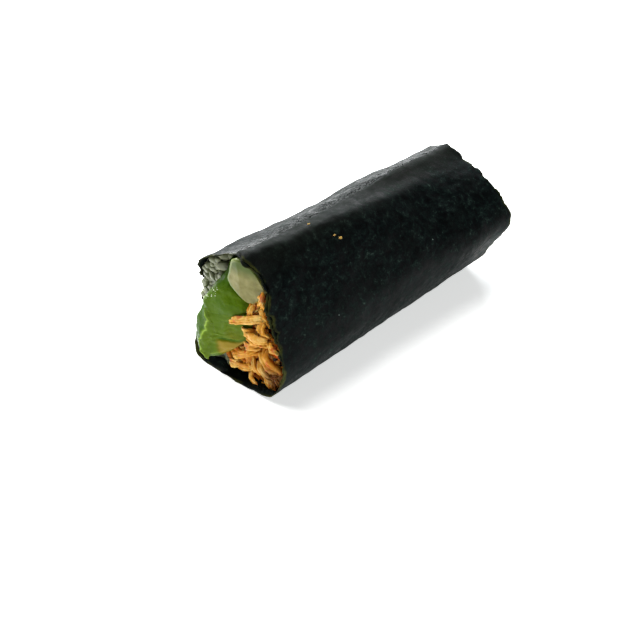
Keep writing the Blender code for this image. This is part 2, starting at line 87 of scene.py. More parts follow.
def smooth(share):
    share = np.clip(share, 0.0, 1.0)
    return share * share * (3 - 2 * share)


def fade(value, start, reach):
    # 0 up to start, and 1 from where value has gone on by reach, which may be negative
    return smooth((value - start) / reach)


def bell(value, width):
    return np.exp(-((value / width) ** 2))


def splinePoint(before, start, end, after, t):
    bend = (end - before) * t + (2 * before - 5 * start + 4 * end - after) * t**2
    return start + 0.5 * (bend + (3 * start - before - 3 * end + after) * t**3)


def closedCurve(points, steps):
    points = np.array(points, float)
    before, end, after = (np.roll(points, k, axis=0)[:, None] for k in (1, -1, -2))
    t = (np.arange(steps) / steps)[None, :, None]
    return splinePoint(before, points[:, None], end, after, t).reshape(-1, points.shape[1])


def openCurve(points, count):
    points = np.array(points, float)
    padded = np.concatenate([2 * points[:1] - points[1:2], points, 2 * points[-1:] - points[-2:-1]])
    at = np.linspace(0, len(points) - 1, count)
    first = np.minimum(at.astype(int), len(points) - 2)
    t = (at - first).reshape(-1, *([1] * (points.ndim - 1)))
    return splinePoint(*(padded[first + k] for k in range(4)), t)


def polarTable(section):
    offset = closedCurve(section, roll["sectionSteps"]) - roll["axis"]
    angle = np.arctan2(offset[:, 1], offset[:, 0]) % tau
    order = np.argsort(angle)
    return angle[order], np.hypot(offset[:, 0], offset[:, 1])[order]


nearTable = polarTable(roll["nearSection"])
farTable = polarTable(roll["farSection"])


def rollRadius(angle, along):
    angle, along = np.broadcast_arrays(np.asarray(angle, float), np.clip(along, 0.0, roll["length"]))
    share = along / roll["length"]
    near = np.interp(angle, *nearTable, period=tau)
    radius = near + (np.interp(angle, *farTable, period=tau) - near) * share
    dents = np.zeros_like(radius)
    for dentAngle, dentAlong, reach, depth in roll["dents"]:
        turned = (angle - math.radians(dentAngle) + math.pi) % tau - math.pi
        dents += depth * smooth(1 - np.hypot(turned * radius, along - dentAlong) / reach)
    waves = sum(height * np.sin(count * angle + along / length + start)
                for count, length, start, height in roll["waves"])
    radius = radius + fade(np.sin(angle), *roll["offTable"]) * (roll["waveHeight"] * waves - dents)
    flat = roll["axis"][1] / np.maximum(1e-6, -np.sin(angle))
    return np.where(np.sin(angle) < 0, np.minimum(radius, flat), radius)


def ridgeAngle(along):
    near, far = np.radians(roll["ridge"])
    return near + (far - near) * smooth(along / roll["length"])


# The sheet of nori
sheet = {
    "thickness": 0.3,
    "solidThickness": 0.45,  # what the solids allow for each layer
    "gap": 0.3,  # between layers
    "overlap": math.radians(118),
    "overlapFade": (0.12, 0.25),
    "dive": math.radians(52),  # the turn in which the sheet sinks below its free edge
    "diveHaste": 1.15,
    "sink": 0.5,  # how far below its free edge the sheet goes there
    "lipLift": 0.3,
    "lipTurn": math.radians(12),
    "edgeRag": 0.55,
    "edgeWaves": ((3, 0.0), (7, 1.3), (13, 2.1), (23, 0.4)),
    "farPhase": 2.0,
    # Torn back on the left: where the near edge lies along the roll, at angles in degrees round it
    "nearEdge": (
        (-52, 0.0), (-42, -0.2), (-36, 0.5), (-28, 2.6), (-20, 4.0), (-10, 4.9), (4, 5.2), (14, 5.0),
        (22, 4.0), (30, 2.2), (38, 0.3), (48, -0.6), (57, -1.5), (67, -0.8), (78, -0.4),
        (92, -0.6), (98, -2.0), (104, -2.4), (110, -0.8), (116, 0.7), (126, 0.9), (133, -0.4), (141, -2.2),
        (150, -1.6), (162, -0.6), (175, 0.0),
    ),
    "setBack": 0.8,  # how far the outer layer's near edge lies behind the layer below it
    "setBackTurn": (math.radians(8), math.radians(72)),
    "nibbles": ((0.9, 0.08), (1.7, 0.12), (3.1, 0.14), (5.3, 0.16)),  # size and depth of the torn bits
    "evenTurn": (math.radians(75), math.radians(228), 0.3),  # where the near edge is cut nearly straight
    "evenness": 0.75,
    "crinkles": ((2.2, 0.12), (4.6, 0.2), (9.0, 0.24)),  # size and height of the dried sheet's waves
    "offTable": (0.6, 3.0),  # the height at which the crinkles begin, and their reach
    "seeds": (3, 1, 2),  # of the lip's, the near and the far edge
    "middleRadius": 22.5,
    "turnSteps": 330,
    "lengthSteps": 170,
    "rimReach": 3.0,  # how far in from a cut end the sheet is thin and olive
    # how far from the ridge the painted shade along the crest reaches
    "crestReach": math.radians(34),
    "glossReach": math.radians(30),  # behind the ridge, where the sheet is wrinkled finely
    "glossStart": 0.04,
    "glossWrinkles": ((1.4, 0.15), (2.8, 0.2)),
    "glossSeed": 9,
    "lowReach": 17.0,  # how high up the side the fine creases and the painted sheen run
    "lowSide": 6.0,  # and how far from the middle they are full
    "corner": math.radians(-38),  # the tight bend at the bottom on the left
    "cornerTurn": math.radians(22),
    "cornerRoom": 0.35,
    "fillSlack": 0.15,  # the solids' clearance that the soft fillings take up here
}


def roomRadius(angle, along):
    # How far out the fillings reach: to the inside of one layer of the sheet, or of two where it laps
    pastEdge = (angle - ridgeAngle(along)) % tau
    belowEdge = 1 - fade(pastEdge - sheet["overlap"], *sheet["overlapFade"])
    diving = smooth((pastEdge - (tau - sheet["dive"])) / sheet["dive"] * sheet["diveHaste"])
    layers = 1 + np.maximum(belowEdge, diving)
    bend = np.abs((angle - sheet["corner"] + math.pi) % tau - math.pi)
    spare = sheet["cornerRoom"] * smooth(1 - bend / sheet["cornerTurn"]) - sheet["fillSlack"]
    return rollRadius(angle, along) - layers * (sheet["solidThickness"] + sheet["gap"]) - spare


def sectionPoint(angle, radius, along):
    angle, radius, along = np.broadcast_arrays(angle, radius, along)
    across, up = roll["axis"]
    return np.stack([along, across + radius * np.cos(angle), up + radius * np.sin(angle)], axis=-1)


def placed(points, along, margin=0.0):
    offset = np.asarray(points, float) - roll["axis"]
    angle = np.arctan2(offset[..., 1], offset[..., 0])
    share = np.hypot(offset[..., 0], offset[..., 1]) / np.interp(angle, *nearTable, period=tau)
    radius = np.minimum(share * rollRadius(angle, along), roomRadius(angle, along) - margin)
    return sectionPoint(angle, radius, along)


def keptIn(points, margin):
    offset = points[..., 1:] - roll["axis"]
    angle = np.arctan2(offset[..., 1], offset[..., 0])
    radius = np.minimum(np.hypot(offset[..., 0], offset[..., 1]), roomRadius(angle, points[..., 0]) - margin)
    return sectionPoint(angle, radius, points[..., 0])


def lumps(points, size, seed):
    # Smooth noise at every point, another part of it for each seed
    shift = Vector((seed * 7.3, seed * 3.1, seed * 5.7))
    flat = points.reshape(-1, 3)
    return np.array([noise.noise(Vector(p) / size + shift) for p in flat]).reshape(points.shape[:-1])


def wander(at, waves, seed):
    # An uneven line: waves of the given lengths and heights, each starting at its own place
    draw = random.Random(seed)
    return sum(height * np.sin(tau * at / length + draw.uniform(0, tau)) for length, height in waves)


def makePiece(name, points, faces, attributes, material):
    mesh = bpy.data.meshes.new(name)
    placedPoints = (points - np.array(roll["origin"])) / 1000
    mesh.from_pydata(placedPoints.tolist(), [], faces)
    for attribute, values in attributes.items():
        mesh.attributes.new(attribute, "FLOAT", "POINT").data.foreach_set("value", values)
    mesh.materials.append(material)
    mesh.shade_smooth()
    piece = bpy.data.objects.new(name, mesh)
    bpy.context.scene.collection.objects.link(piece)
    return piece


def loftFaces(ringCount, ringSize, first):
    faces = []
    for ring in range(ringCount - 1):
        start = first + ring * ringSize
        for i in range(ringSize):
            j = (i + 1) % ringSize
            faces.append((start + i, start + j, start + j + ringSize, start + i + ringSize))
    faces.append(tuple(range(first + ringSize - 1, first - 1, -1)))
    last = first + (ringCount - 1) * ringSize
    faces.append(tuple(range(last, last + ringSize)))
    return faces


def loftPiece(name, bodies, material):
    # Each body is rings of points, with an attribute's value at every point
    points, faces, attributes = [], [], {}
    count = 0
    for rings, values in bodies:
        inwards = rings.mean(axis=1)[1] - rings.mean(axis=1)[0]
        turning = np.cross(rings[0, 1] - rings[0, 0], rings[0, 2] - rings[0, 1])
        if np.dot(inwards, turning) > 0:
            rings = rings[:, ::-1]
            values = {key: value[:, ::-1] for key, value in values.items()}
        faces += loftFaces(rings.shape[0], rings.shape[1], count)
        points.append(rings.reshape(-1, 3))
        count += len(points[-1])
        for key, value in values.items():
            attributes.setdefault(key, []).append(np.broadcast_to(value, rings.shape[:2]).ravel())
    attributes = {key: np.concatenate(value) for key, value in attributes.items()}
    return makePiece(name, np.concatenate(points), faces, attributes, material)


# Materials
def linear(code):
    parts = [int(code[i : i + 2], 16) / 255 for i in (1, 3, 5)]
    return [p / 12.92 if p <= 0.04045 else ((p + 0.055) / 1.055) ** 2.4 for p in parts] + [1.0]


def newMaterial(name, **settings):
    material = bpy.data.materials.new(name)
    material.use_nodes = True
    shader = material.node_tree.nodes["Principled BSDF"]
    for socket, value in settings.items():
        shader.inputs[socket.replace("_", " ")].default_value = value
    return material, shader


def linkTo(material, node, sources):
    # A source that is a whole node gives its first output
    for name, source in sources.items():
        output = source.outputs[0] if isinstance(source, bpy.types.Node) else source
        material.node_tree.links.new(output, node.inputs[name])


def addNode(material, kind, settings=None, links=None):
    node = material.node_tree.nodes.new("ShaderNode" + kind)
    for name, value in (settings or {}).items():
        if name == "stops":
            stops = node.color_ramp.elements
            while len(stops) < len(value):
                stops.new(0.5)
            for stop, (position, colour) in zip(stops, value):
                stop.position = position
                stop.color = linear(colour) if isinstance(colour, str) else (colour, colour, colour, 1)
        elif isinstance(name, int) or name in node.inputs:
            node.inputs[name].default_value = value
        else:
            setattr(node, name, value)
    linkTo(material, node, links or {})
    return node


nori = {
    "fibre": 0.5,  # mm, the finest bits of pressed seaweed
    "grain": 1.9,  # its blotches
    "patch": 6.5,  # thick and thin places
    "hair": 0.8,  # creases low on the side, drawn wider than they are; they are lighter as a painted sheen
    "hairStretch": 8.0,
    "hairSlant": 0.6,  # radians from the upright
    # To Min lightens the whole low band, not only the creases: painted sheen of the table's reflection
    "hairRange": {"From Min": 0.5, "From Max": 0.64, "To Min": 0.3},
    "edgeRange": {"From Min": 0.38, "From Max": 0.56},  # where the torn edge is thin and olive
    # painted glints: small pale dots in the colour
    "glint": 1.7,
    "glintRange": {"From Min": 0.17, "From Max": 0.08},
    "chosenRange": {"From Min": 0.9, "From Max": 0.93},  # only this top share of the cells has a glint
    "fibreShare": 0.35,
    "patchShades": ((0.35, 0.45), (0.65, 1.0)),
    "feltDepth": 0.16,
    "sparkle": 0.85,  # the dried blisters of the band behind the ridge
    "sparkleDepth": 1.1,
    "hairDepth": 0.2,
    "colours": ((0.54, "#010203"), (0.62, "#030809"), (0.7, "#081312"), (0.8, "#16231f"), (0.92, "#38463f")),
    "lowSheenColour": "#293431",
    # painted shade: the sheet's colour is darkened along the ridge
    "crestShadeColour": "#12150f",
    "edgeColour": "#3a3d18",
    "glintColour": "#76837c",
    "roughness": {"From Min": 0.35, "From Max": 0.65, "To Min": 0.5, "To Max": 0.78},
    "glossGain": 0.4,  # how much smoother the band behind the ridge is
}


def roastedNori():
    # Pressed and roasted seaweed: nearly black green, mottled like felt, with a satin face that glitters
    # where light rakes it, and thin olive places at its torn edges. Painted light in its colour: pale
    # glints, a lighter sheen low on the side and darker shade along the ridge
    material, shader = newMaterial("roastedNori", Roughness=0.5, IOR=1.45, Specular_IOR_Level=0.07)
    place = addNode(material, "TexCoord").outputs["Object"]
    crest, low, rim, glossy = (addNode(material, "Attribute", {"attribute_name": name}).outputs["Fac"]
                               for name in ("crest", "low", "rim", "glossy"))
    fibre = addNode(material, "TexNoise", {"Scale": 1000 / nori["fibre"], "Detail": 2.0, "Roughness": 0.6},
                    {"Vector": place})
    grain = addNode(material, "TexNoise", {"Scale": 1000 / nori["grain"], "Detail": 5.0, "Roughness": 0.65,
                                           "Distortion": 0.6}, {"Vector": place})
    patch = addNode(material, "TexNoise", {"Scale": 1000 / nori["patch"], "Detail": 3.0}, {"Vector": place})
    felt = addNode(material, "Math", {"operation": "MULTIPLY_ADD", 1: nori["fibreShare"]},
                   {0: fibre, 2: grain})
    colour = addNode(material, "ValToRGB", {"stops": nori["colours"]}, {"Fac": felt})
    shade = addNode(material, "ValToRGB", {"stops": nori["patchShades"]}, {"Fac": patch})
    mottled = addNode(material, "MixRGB", {"blend_type": "MULTIPLY", "Fac": 1.0},
                      {"Color1": colour, "Color2": shade})
    slanted = addNode(material, "Mapping", {"Rotation": (0.0, nori["hairSlant"], 0.0),
                                            "Scale": (1.0, 1.0, 1 / nori["hairStretch"])}, {"Vector": place})
    hair = addNode(material, "TexNoise", {"Scale": 1000 / nori["hair"], "Detail": 2.0}, {"Vector": slanted})
    line = addNode(material, "MapRange", nori["hairRange"], {"Value": hair})
    creaseSheen = addNode(material, "Math", {"operation": "MULTIPLY"}, {0: line, 1: low})
    # Painted sheen: the low side and its creases are lightened, standing in for the table's reflection
    lowSheened = addNode(material, "MixRGB", {"Color2": linear(nori["lowSheenColour"])},
                      {"Fac": creaseSheen, "Color1": mottled})
    # Painted shade along the ridge: the pale mottles near the crest are pulled towards a dark colour
    crestShade = addNode(material, "Math", {"operation": "MULTIPLY"}, {0: crest, 1: felt})
    crestShaded = addNode(material, "MixRGB", {"Color2": linear(nori["crestShadeColour"])},
                   {"Fac": crestShade, "Color1": lowSheened})
    edge = addNode(material, "Math", {"operation": "MULTIPLY"}, {0: rim, 1: patch})
    thin = addNode(material, "MapRange", nori["edgeRange"], {"Value": edge})
    olive = addNode(material, "MixRGB", {"Color2": linear(nori["edgeColour"])},
                    {"Fac": thin, "Color1": crestShaded})
    # Painted glints: a few Voronoi cells get a pale dot in the base colour
    cell = addNode(material, "TexVoronoi", {"Scale": 1000 / nori["glint"]}, {"Vector": place})
    dot = addNode(material, "MapRange", nori["glintRange"], {"Value": cell.outputs["Distance"]})
    chosen = addNode(material, "MapRange", nori["chosenRange"], {"Value": cell.outputs["Color"]})
    glint = addNode(material, "Math", {"operation": "MULTIPLY"}, {0: dot, 1: chosen})
    glinted = addNode(material, "MixRGB", {"Color2": linear(nori["glintColour"])},
                       {"Fac": glint, "Color1": olive})
    rough = addNode(material, "MapRange", nori["roughness"], {"Value": grain})
    sleek = addNode(material, "Math", {"operation": "MULTIPLY_ADD", 1: -nori["glossGain"]},
                    {0: glossy, 2: rough})
    pressed = addNode(material, "Bump", {"Strength": 1.0, "Distance": nori["feltDepth"] / 1000},
                      {"Height": felt})
    blister = addNode(material, "TexNoise", {"Scale": 1000 / nori["sparkle"], "Detail": 1.0},
                      {"Vector": place})
    raised = addNode(material, "Math", {"operation": "MULTIPLY"}, {0: blister, 1: glossy})
    blistered = addNode(material, "Bump", {"Strength": 1.0, "Distance": nori["sparkleDepth"] / 1000},
                        {"Height": raised, "Normal": pressed})
    folds = addNode(material, "Bump", {"Strength": 1.0, "Distance": nori["hairDepth"] / 1000},
                    {"Height": creaseSheen, "Normal": blistered})
    linkTo(material, shader, {"Base Color": glinted, "Roughness": sleek, "Normal": folds})
    return material


def buildSheet():
    steps = (sheet["turnSteps"] + 1, sheet["lengthSteps"] + 1)
    whole = tau + sheet["overlap"]
    turnShare, share = np.meshgrid(np.linspace(0, 1, steps[0]), np.linspace(0, 1, steps[1]), indexing="ij")
    lipSeed, nearSeed, farSeed = sheet["seeds"]
    torn = np.maximum(wander(share * roll["length"], sheet["nibbles"], lipSeed) * (1 - turnShare), 0)
    turn = torn / sheet["middleRadius"] + (whole - torn / sheet["middleRadius"]) * turnShare
    wave = sum(np.sin(count * turn + start) for count, start in sheet["edgeWaves"])
    farWave = sum(np.sin(count * turn + start + sheet["farPhase"]) for count, start in sheet["edgeWaves"])
    start = np.interp(np.degrees(ridgeAngle(0.0) + turn), *np.array(sheet["nearEdge"]).T, period=360)
    first, last = sheet["setBackTurn"]
    start = start + sheet["setBack"] * smooth(turn / first) * (1 - fade(turn, last, first))
    first, last, blend = sheet["evenTurn"]
    ragged = 1 - sheet["evenness"] * fade(turn, first, blend) * (1 - fade(turn, last, blend))
    edge = turn * sheet["middleRadius"]
    start = start + (sheet["edgeRag"] * wave / 2 + wander(edge, sheet["nibbles"], nearSeed)) * ragged
    end = roll["length"] + sheet["edgeRag"] * farWave / 2 + wander(edge, sheet["nibbles"], farSeed)
    along = start + (end - start) * share
    angle = ridgeAngle(along) + turn
    sunk = fade(turn, tau - sheet["dive"], sheet["dive"]) * sheet["sink"]
    lifted = sheet["lipLift"] * (1 - smooth(turn / sheet["lipTurn"]))
    radius = rollRadius(angle, along) - sunk + lifted
    points = sectionPoint(angle, radius, along)
    above = fade(points[..., 2], *sheet["offTable"])
    for size, height in sheet["crinkles"]:
        radius = radius + lumps(points, size, size) * height * above
    beforeRidge = (ridgeAngle(along) - angle) % tau
    glossy = smooth(beforeRidge / sheet["glossStart"]) * (1 - smooth(beforeRidge / sheet["glossReach"]))
    for size, height in sheet["glossWrinkles"]:
        radius = radius + lumps(points, size, size + sheet["glossSeed"]) * height * glossy
    points = sectionPoint(angle, radius, along)
    rim = 1 - smooth(np.minimum(along - start, end - along) / sheet["rimReach"])
    # crest: where the painted shade along the ridge falls
    crest = 1 - smooth(np.minimum(turn, np.abs(tau - turn)) / sheet["crestReach"])
    # low: where the painted sheen and the fine creases lie
    low = (1 - smooth(points[..., 2] / sheet["lowReach"])) * smooth(-points[..., 1] / sheet["lowSide"])
    index = np.arange(points.shape[0] * points.shape[1]).reshape(points.shape[:2])
    corners = (index[:-1, :-1], index[1:, :-1], index[1:, 1:], index[:-1, 1:])
    faces = np.stack(corners, axis=-1).reshape(-1, 4).tolist()
    attributes = {"rim": rim.ravel(), "crest": crest.ravel(), "low": low.ravel(), "glossy": glossy.ravel()}
    piece = makePiece("noriSheet", points.reshape(-1, 3), faces, attributes, roastedNori())
    face = piece.data.polygons[0]
    centre = Vector((0, -roll["origin"][1], roll["axis"][1])) / 1000
    outward = face.normal.dot(face.center - centre) > 0
    solidify = piece.modifiers.new("thickness", "SOLIDIFY")
    solidify.thickness = sheet["thickness"] / 1000
    solidify.offset = -1 if outward else 1
    return piece


noriSheet = buildSheet()
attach(noriSheet, "root")
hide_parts("nori")
print("nori sheet done")

# The avocado and the cucumber. A fade is where it starts, across or up, and how far it reaches
avocadoEnd = {
    "lower": -3.0,  # where the lower slice's face lies at slantFrom, and its slant
    "slant": 0.2,
    "slantFrom": 12.0,
    "slantTo": 14.0,
    "upper": 2.4,  # where the upper slice's face lies, and how it swells on the left
    "swell": 4.2,
    "swellFade": (41.0, -15.0),
    "dip": 1.6,  # it lies deeper by the cucumber
    "dipFade": (4.0, -8.0),
    "join": (20.0, 8.0),
}
lowerSlice = {
    "outline": (
        (13.4, 24.2), (15.0, 18.0), (15.8, 11.5), (14.2, 6.6), (11.0, 5.3), (8.0, 6.8),
        (2.2, 12.0), (-5.0, 19.8), (-4.6, 26.9), (3.0, 25.0), (10.8, 23.5),
    ),
    "seed": 21,
    "leftFade": (3.0, 8.0),  # the skin side
    "seamFade": (20.5, 2.5),  # where the other slice lies on it
    "bulge": 1.8,
    "bulgeFade": (17.0, 5.0),
    # Behind the cut face, how far the left side lies in, and the rounding of the right
    "nearRows": ((-0.3, 7.5, 2.5), (0.0, 5.2, 0.6), (0.8, 2.4, 0.1), (2.0, 0.0, 0.0), (6.0, 1.8, 0.0)),
    "farRows": ((2.0, 0.0), (0.6, 0.7), (0.0, 2.4)),
    "proud": 0.6,
    "ridgeWidth": 0.14,
    "ridgeHeight": 0.3,
    # up, across
    "ridge": ((5.5, 12.0), (8.7, 14.0), (11.6, 14.0), (14.4, 12.3), (18.9, 10.6), (23.0, 11.0)),
    "ridgeSteps": 40,
    "ridgeBeads": (0.8, 0.3, 1.9),  # its height is uneven: mean share, swing, and radians for each mm
    "topFade": (21.0, 2.5),
    "ridgeWander": ((3.7, 0.35), (1.9, 0.25)),
    "wanderMark": 0.9,
    "wanderWidth": 0.9,
    "wanderSeed": 7,
    "faceTo": 0.8,  # the mark up to which the knife's marks run
    "knifeStep": 1.5,
    "knifeDepth": 0.1,
    "knifeSlant": 0.3,
    "knifeWarp": 5.2,
    "knifeWarpSize": 3.4,
    "knifeSeed": 61,
    "paleLine": ((6.5, 14.7), (-2.0, 16.8)),  # below this the flesh is pale: it lay next to the stone
    "paleFade": (8.2, -2.6),
    "belowFade": (-0.3, 0.6),
    "crackWidth": 0.5,
    "crackFade": (7.5, -2.0),
    "crackDepth": 0.35,
    "crackShade": 0.5,
    "ripe": 0.48,  # 0 is green and 1 pale yellow
    "colourFades": ((0.16, 0, 6.5, -6.0), (-0.12, 1, 16.0, 8.0)),  # amount, across or up, and its fade
    "skinSide": 0.7,
    "skinRipe": 0.22,
    "lumpSize": 2.8,
    "lumpHeight": 0.3,
}
upperSlice = {
    "outline": (
        (4.4, 41.8), (5.8, 38.0), (8.4, 33.8), (11.0, 29.4), (13.2, 24.8), (10.6, 22.9),
        (3.0, 24.8), (-4.2, 27.2), (-4.5, 30.3), (-3.2, 31.8), (1.3, 34.4), (2.6, 36.8), (1.5, 39.4),
    ),
    "nearRows": ((-0.5, 2.6), (0.0, 1.4), (0.8, 0.4), (2.4, 0.0)),
    "farRows": ((2.0, 0.0), (0.7, 0.3), (0.0, 1.2)),
    "proud": -0.4,
    "seed": 21,
    "squareFades": ((28.5, -2.5), (12.5, -4.0)),  # up and across, where the edge isn't rounded
    "ripe": 0.36,
    # the second darkens the green towards the top, where the slice lies in shadow: painted shade
    "colourFades": ((0.1, 0, 6.0, -12.0), (-0.26, 1, 31.0, 7.0)),
    "beadsFrom": (6.5, 25.0),  # the place across and up that the beads of oil start from
    "beadRise": 9.0,
    "beadMarks": (-0.65, 1.2),  # how far inside the rim and behind it they lie
    "lumpSize": 2.8,
    "lumpHeight": 0.3,
}
cucumberBaton = {
    "outline": (
        (-0.9, 44.6), (1.2, 39.6), (2.0, 37.2), (0.9, 35.0), (-2.6, 32.9), (-5.9, 31.6),
        (-9.2, 34.2), (-11.2, 38.0), (-8.6, 42.3), (-4.7, 45.0),
    ),
    "nearRows": ((0.0, 0.9), (0.05, 0.3), (0.3, 0.0)),
    "farRows": ((0.3, 0.0), (0.05, 0.3), (0.0, 0.9)),
    "proud": 0.9,
    "seed": 41,
    "face": -1.5,
    "lean": (44.0, 0.06),  # deeper below this height
    "turn": (-3.0, 0.26),  # and beyond this place across
    # the paler rim on the left: partly glassy flesh, partly a painted highlight
    "rimFade": (-0.08, 0.3),
    "rimSide": (-4.0, 3.0),
    "skinFade": (39.0, 4.5),
    "lumpSize": 2.0,
    "lumpHeight": 0.08,
}
capShares = np.linspace(0.05, 0.95, 16)  # rings across a cut face, from its middle out
curveSteps = 11
rowSteps = 5
innerMark = 9.0  # of the rings further in than the near rows
mostInset = 0.9  # the share of the way to the middle
endRoom = (3.0, 1.0)  # how far the fillings may stand out at the near and far end
lumpReach = 14.0
fineLumps = (2.4, 0.4)  # how many times finer they are than the main lumps, and their share of the height


def avocadoFace(points):
    # Both slices end in one soft swelling: deep by the cucumber, and proud low on the left
    across, up = points[..., 0], points[..., 1]
    face = avocadoEnd
    lower = face["lower"] + (face["slantFrom"] - np.minimum(face["slantTo"], across)) * face["slant"]
    upper = face["upper"] - face["swell"] * fade(up, *face["swellFade"])
    upper = upper + face["dip"] * fade(across, *face["dipFade"])
    return lower + (upper - lower) * fade(up, *face["join"])


def cucumberFace(points):
    # Deeper low down and towards the sheet
    (top, lean), (side, turn) = cucumberBaton["lean"], cucumberBaton["turn"]
    deeper = (top - points[..., 1]) * lean
    return cucumberBaton["face"] + deeper + turn * np.maximum(0.0, side - points[..., 0])


def shareOut(value, shape):
    return np.broadcast_to(np.asarray(value, float), shape).copy()


def filledRings(curve, shaped, nearFace, piece):
    # Rings of a filling from the middle of its near cut face to the middle of its far one, and each
    # ring's mark: below 0 on the near face, 0 and on behind its rim, and innerMark further in
    middle = curve.mean(axis=0)
    rows = openCurve(piece["nearRows"], (len(piece["nearRows"]) - 1) * rowSteps + 1)
    points, alongs, marks = [], [], []
    for share in capShares:
        points.append(middle + (shaped(rows[0]) - middle) * share)
        alongs.append(nearFace(points[-1]) + rows[0][0])
        marks.append(-1.0 + share)
    for count, row in enumerate(rows):
        points.append(shaped(row))
        alongs.append(nearFace(points[-1]) + row[0])
        marks.append(count / rowSteps)
    for along in roll["stations"]:
        points.append(shaped((0.0,) * len(rows[0])))
        alongs.append(shareOut(along, len(curve)))
    end = roll["length"] + piece["proud"]
    for behind, inset in openCurve(piece["farRows"], (len(piece["farRows"]) - 1) * rowSteps + 1):
        points.append(curve + inwardsOf(curve, inset))
        alongs.append(shareOut(end - behind, len(curve)))
    last = points[-1]
    for share in capShares[::-1]:
        points.append(middle + (last - middle) * share)
        alongs.append(shareOut(end, len(curve)))
    marks += [innerMark] * (len(points) - len(marks))
    return np.array(points), np.array(alongs), np.array(marks)[:, None]


def inwardsOf(curve, inset):
    inwards = curve.mean(axis=0) - curve
    share = np.minimum(mostInset, inset / np.linalg.norm(inwards, axis=1))
    return inwards * np.reshape(share, (-1, 1))


def nearEnds(along, reach):
    # 1 at both ends of the roll and 0 inside it
    return 1 - smooth(np.minimum(along + endRoom[0], roll["length"] + endRoom[1] - along) / reach)


def roughened(rings, piece):
    strength = nearEnds(rings[..., 0], lumpReach) * piece["lumpHeight"]
    size, fineSize, seed = piece["lumpSize"], piece["lumpSize"] / fineLumps[0], piece["seed"]
    moved = [lumps(rings, size, seed + k) + fineLumps[1] * lumps(rings, fineSize, seed + k) for k in range(3)]
    return keptIn(rings + np.stack(moved, axis=-1) * strength[..., None], 0.0)


avocado = {
    "fibre": 1.1,  # mm
    "bruise": 5.0,
    "fibreDepth": 0.2,
    # From green under the skin to pale yellow at the stone
    "colours": ((0.0, "#1c3006"), (0.25, "#3a580c"), (0.5, "#526810"), (0.72, "#64640e"), (1.0, "#8c7628")),
    "bruiseRange": {"To Min": -0.12, "To Max": 0.12},
    # painted highlight along the edge between the cut face and the skin side
    "ridgeHighlightColour": "#8ca83e",
    "beadGlintColour": "#dfe8c4",
    "oilShine": 0.45,
    "roughness": {"From Min": 0.35, "From Max": 0.65, "To Min": 0.12, "To Max": 0.4},
    # beads whose pale colour is a painted glint
    "beads": 18,
    "beadRadius": (0.09, 0.2),
    "beadHeight": 0.6,
    "beadStretch": ((0.7, 1.7), (0.7, 1.2)),  # across and up
    "beadGrid": (0.15, 6, 8),  # the tips' angle, the rings and the sides
    "beadRipe": 0.4,
}


def avocadoFlesh():
    # Ripe avocado, cut with a knife: buttery flesh, green under the skin and pale yellow at the stone,
    # soft in the shade; the beads at its cut edge are coloured pale as painted glints and shine like mirrors
    material, shader = newMaterial("avocadoFlesh", IOR=1.45, Roughness=0.3, Subsurface_Weight=0.15,
                                   Subsurface_Scale=0.001, Coat_Weight=0.04, Coat_Roughness=0.04,
                                   Specular_IOR_Level=0.02, Subsurface_Radius=(0.7, 1.0, 0.25))
    place = addNode(material, "TexCoord").outputs["Object"]
    ripe, ridge, wetness = (addNode(material, "Attribute", {"attribute_name": name}).outputs["Fac"]
                            for name in ("ripe", "ridge", "wet"))
    patchy = addNode(material, "TexNoise", {"Scale": 1000 / avocado["bruise"], "Detail": 4.0},
                     {"Vector": place})
    shifted = addNode(material, "MapRange", avocado["bruiseRange"], {"Value": patchy})
    along = addNode(material, "Math", {"operation": "ADD"}, {0: ripe, 1: shifted})
    flesh = addNode(material, "ValToRGB", {"stops": avocado["colours"]}, {"Fac": along})
    # Painted highlight: a paler line along the cut edge
    edgeHighlighted = addNode(material, "MixRGB", {"Color2": linear(avocado["ridgeHighlightColour"])},
                    {"Fac": ridge, "Color1": flesh})
    # Painted highlight: the beads take a pale colour as their glints
    beadGlinted = addNode(material, "MixRGB", {"Color2": linear(avocado["beadGlintColour"])},
                   {"Fac": wetness, "Color1": edgeHighlighted})
    mirror = addNode(material, "Math", {"operation": "MULTIPLY", 1: avocado["oilShine"]}, {0: wetness})
    fibre = addNode(material, "TexNoise", {"Scale": 1000 / avocado["fibre"], "Detail": 4.0, "Roughness": 0.6},
                    {"Vector": place})
    bump = addNode(material, "Bump", {"Strength": 1.0, "Distance": avocado["fibreDepth"] / 1000},
                   {"Height": fibre})
    wet = addNode(material, "MapRange", avocado["roughness"], {"Value": patchy})
    linkTo(material, shader, {"Base Color": beadGlinted, "Metallic": mirror, "Roughness": wet, "Normal": bump})
    return material


def ripeness(piece, points):
    ripe = piece["ripe"]
    for amount, axis, start, reach in piece["colourFades"]:
        ripe = ripe + amount * fade(points[..., axis], start, reach)
    return ripe


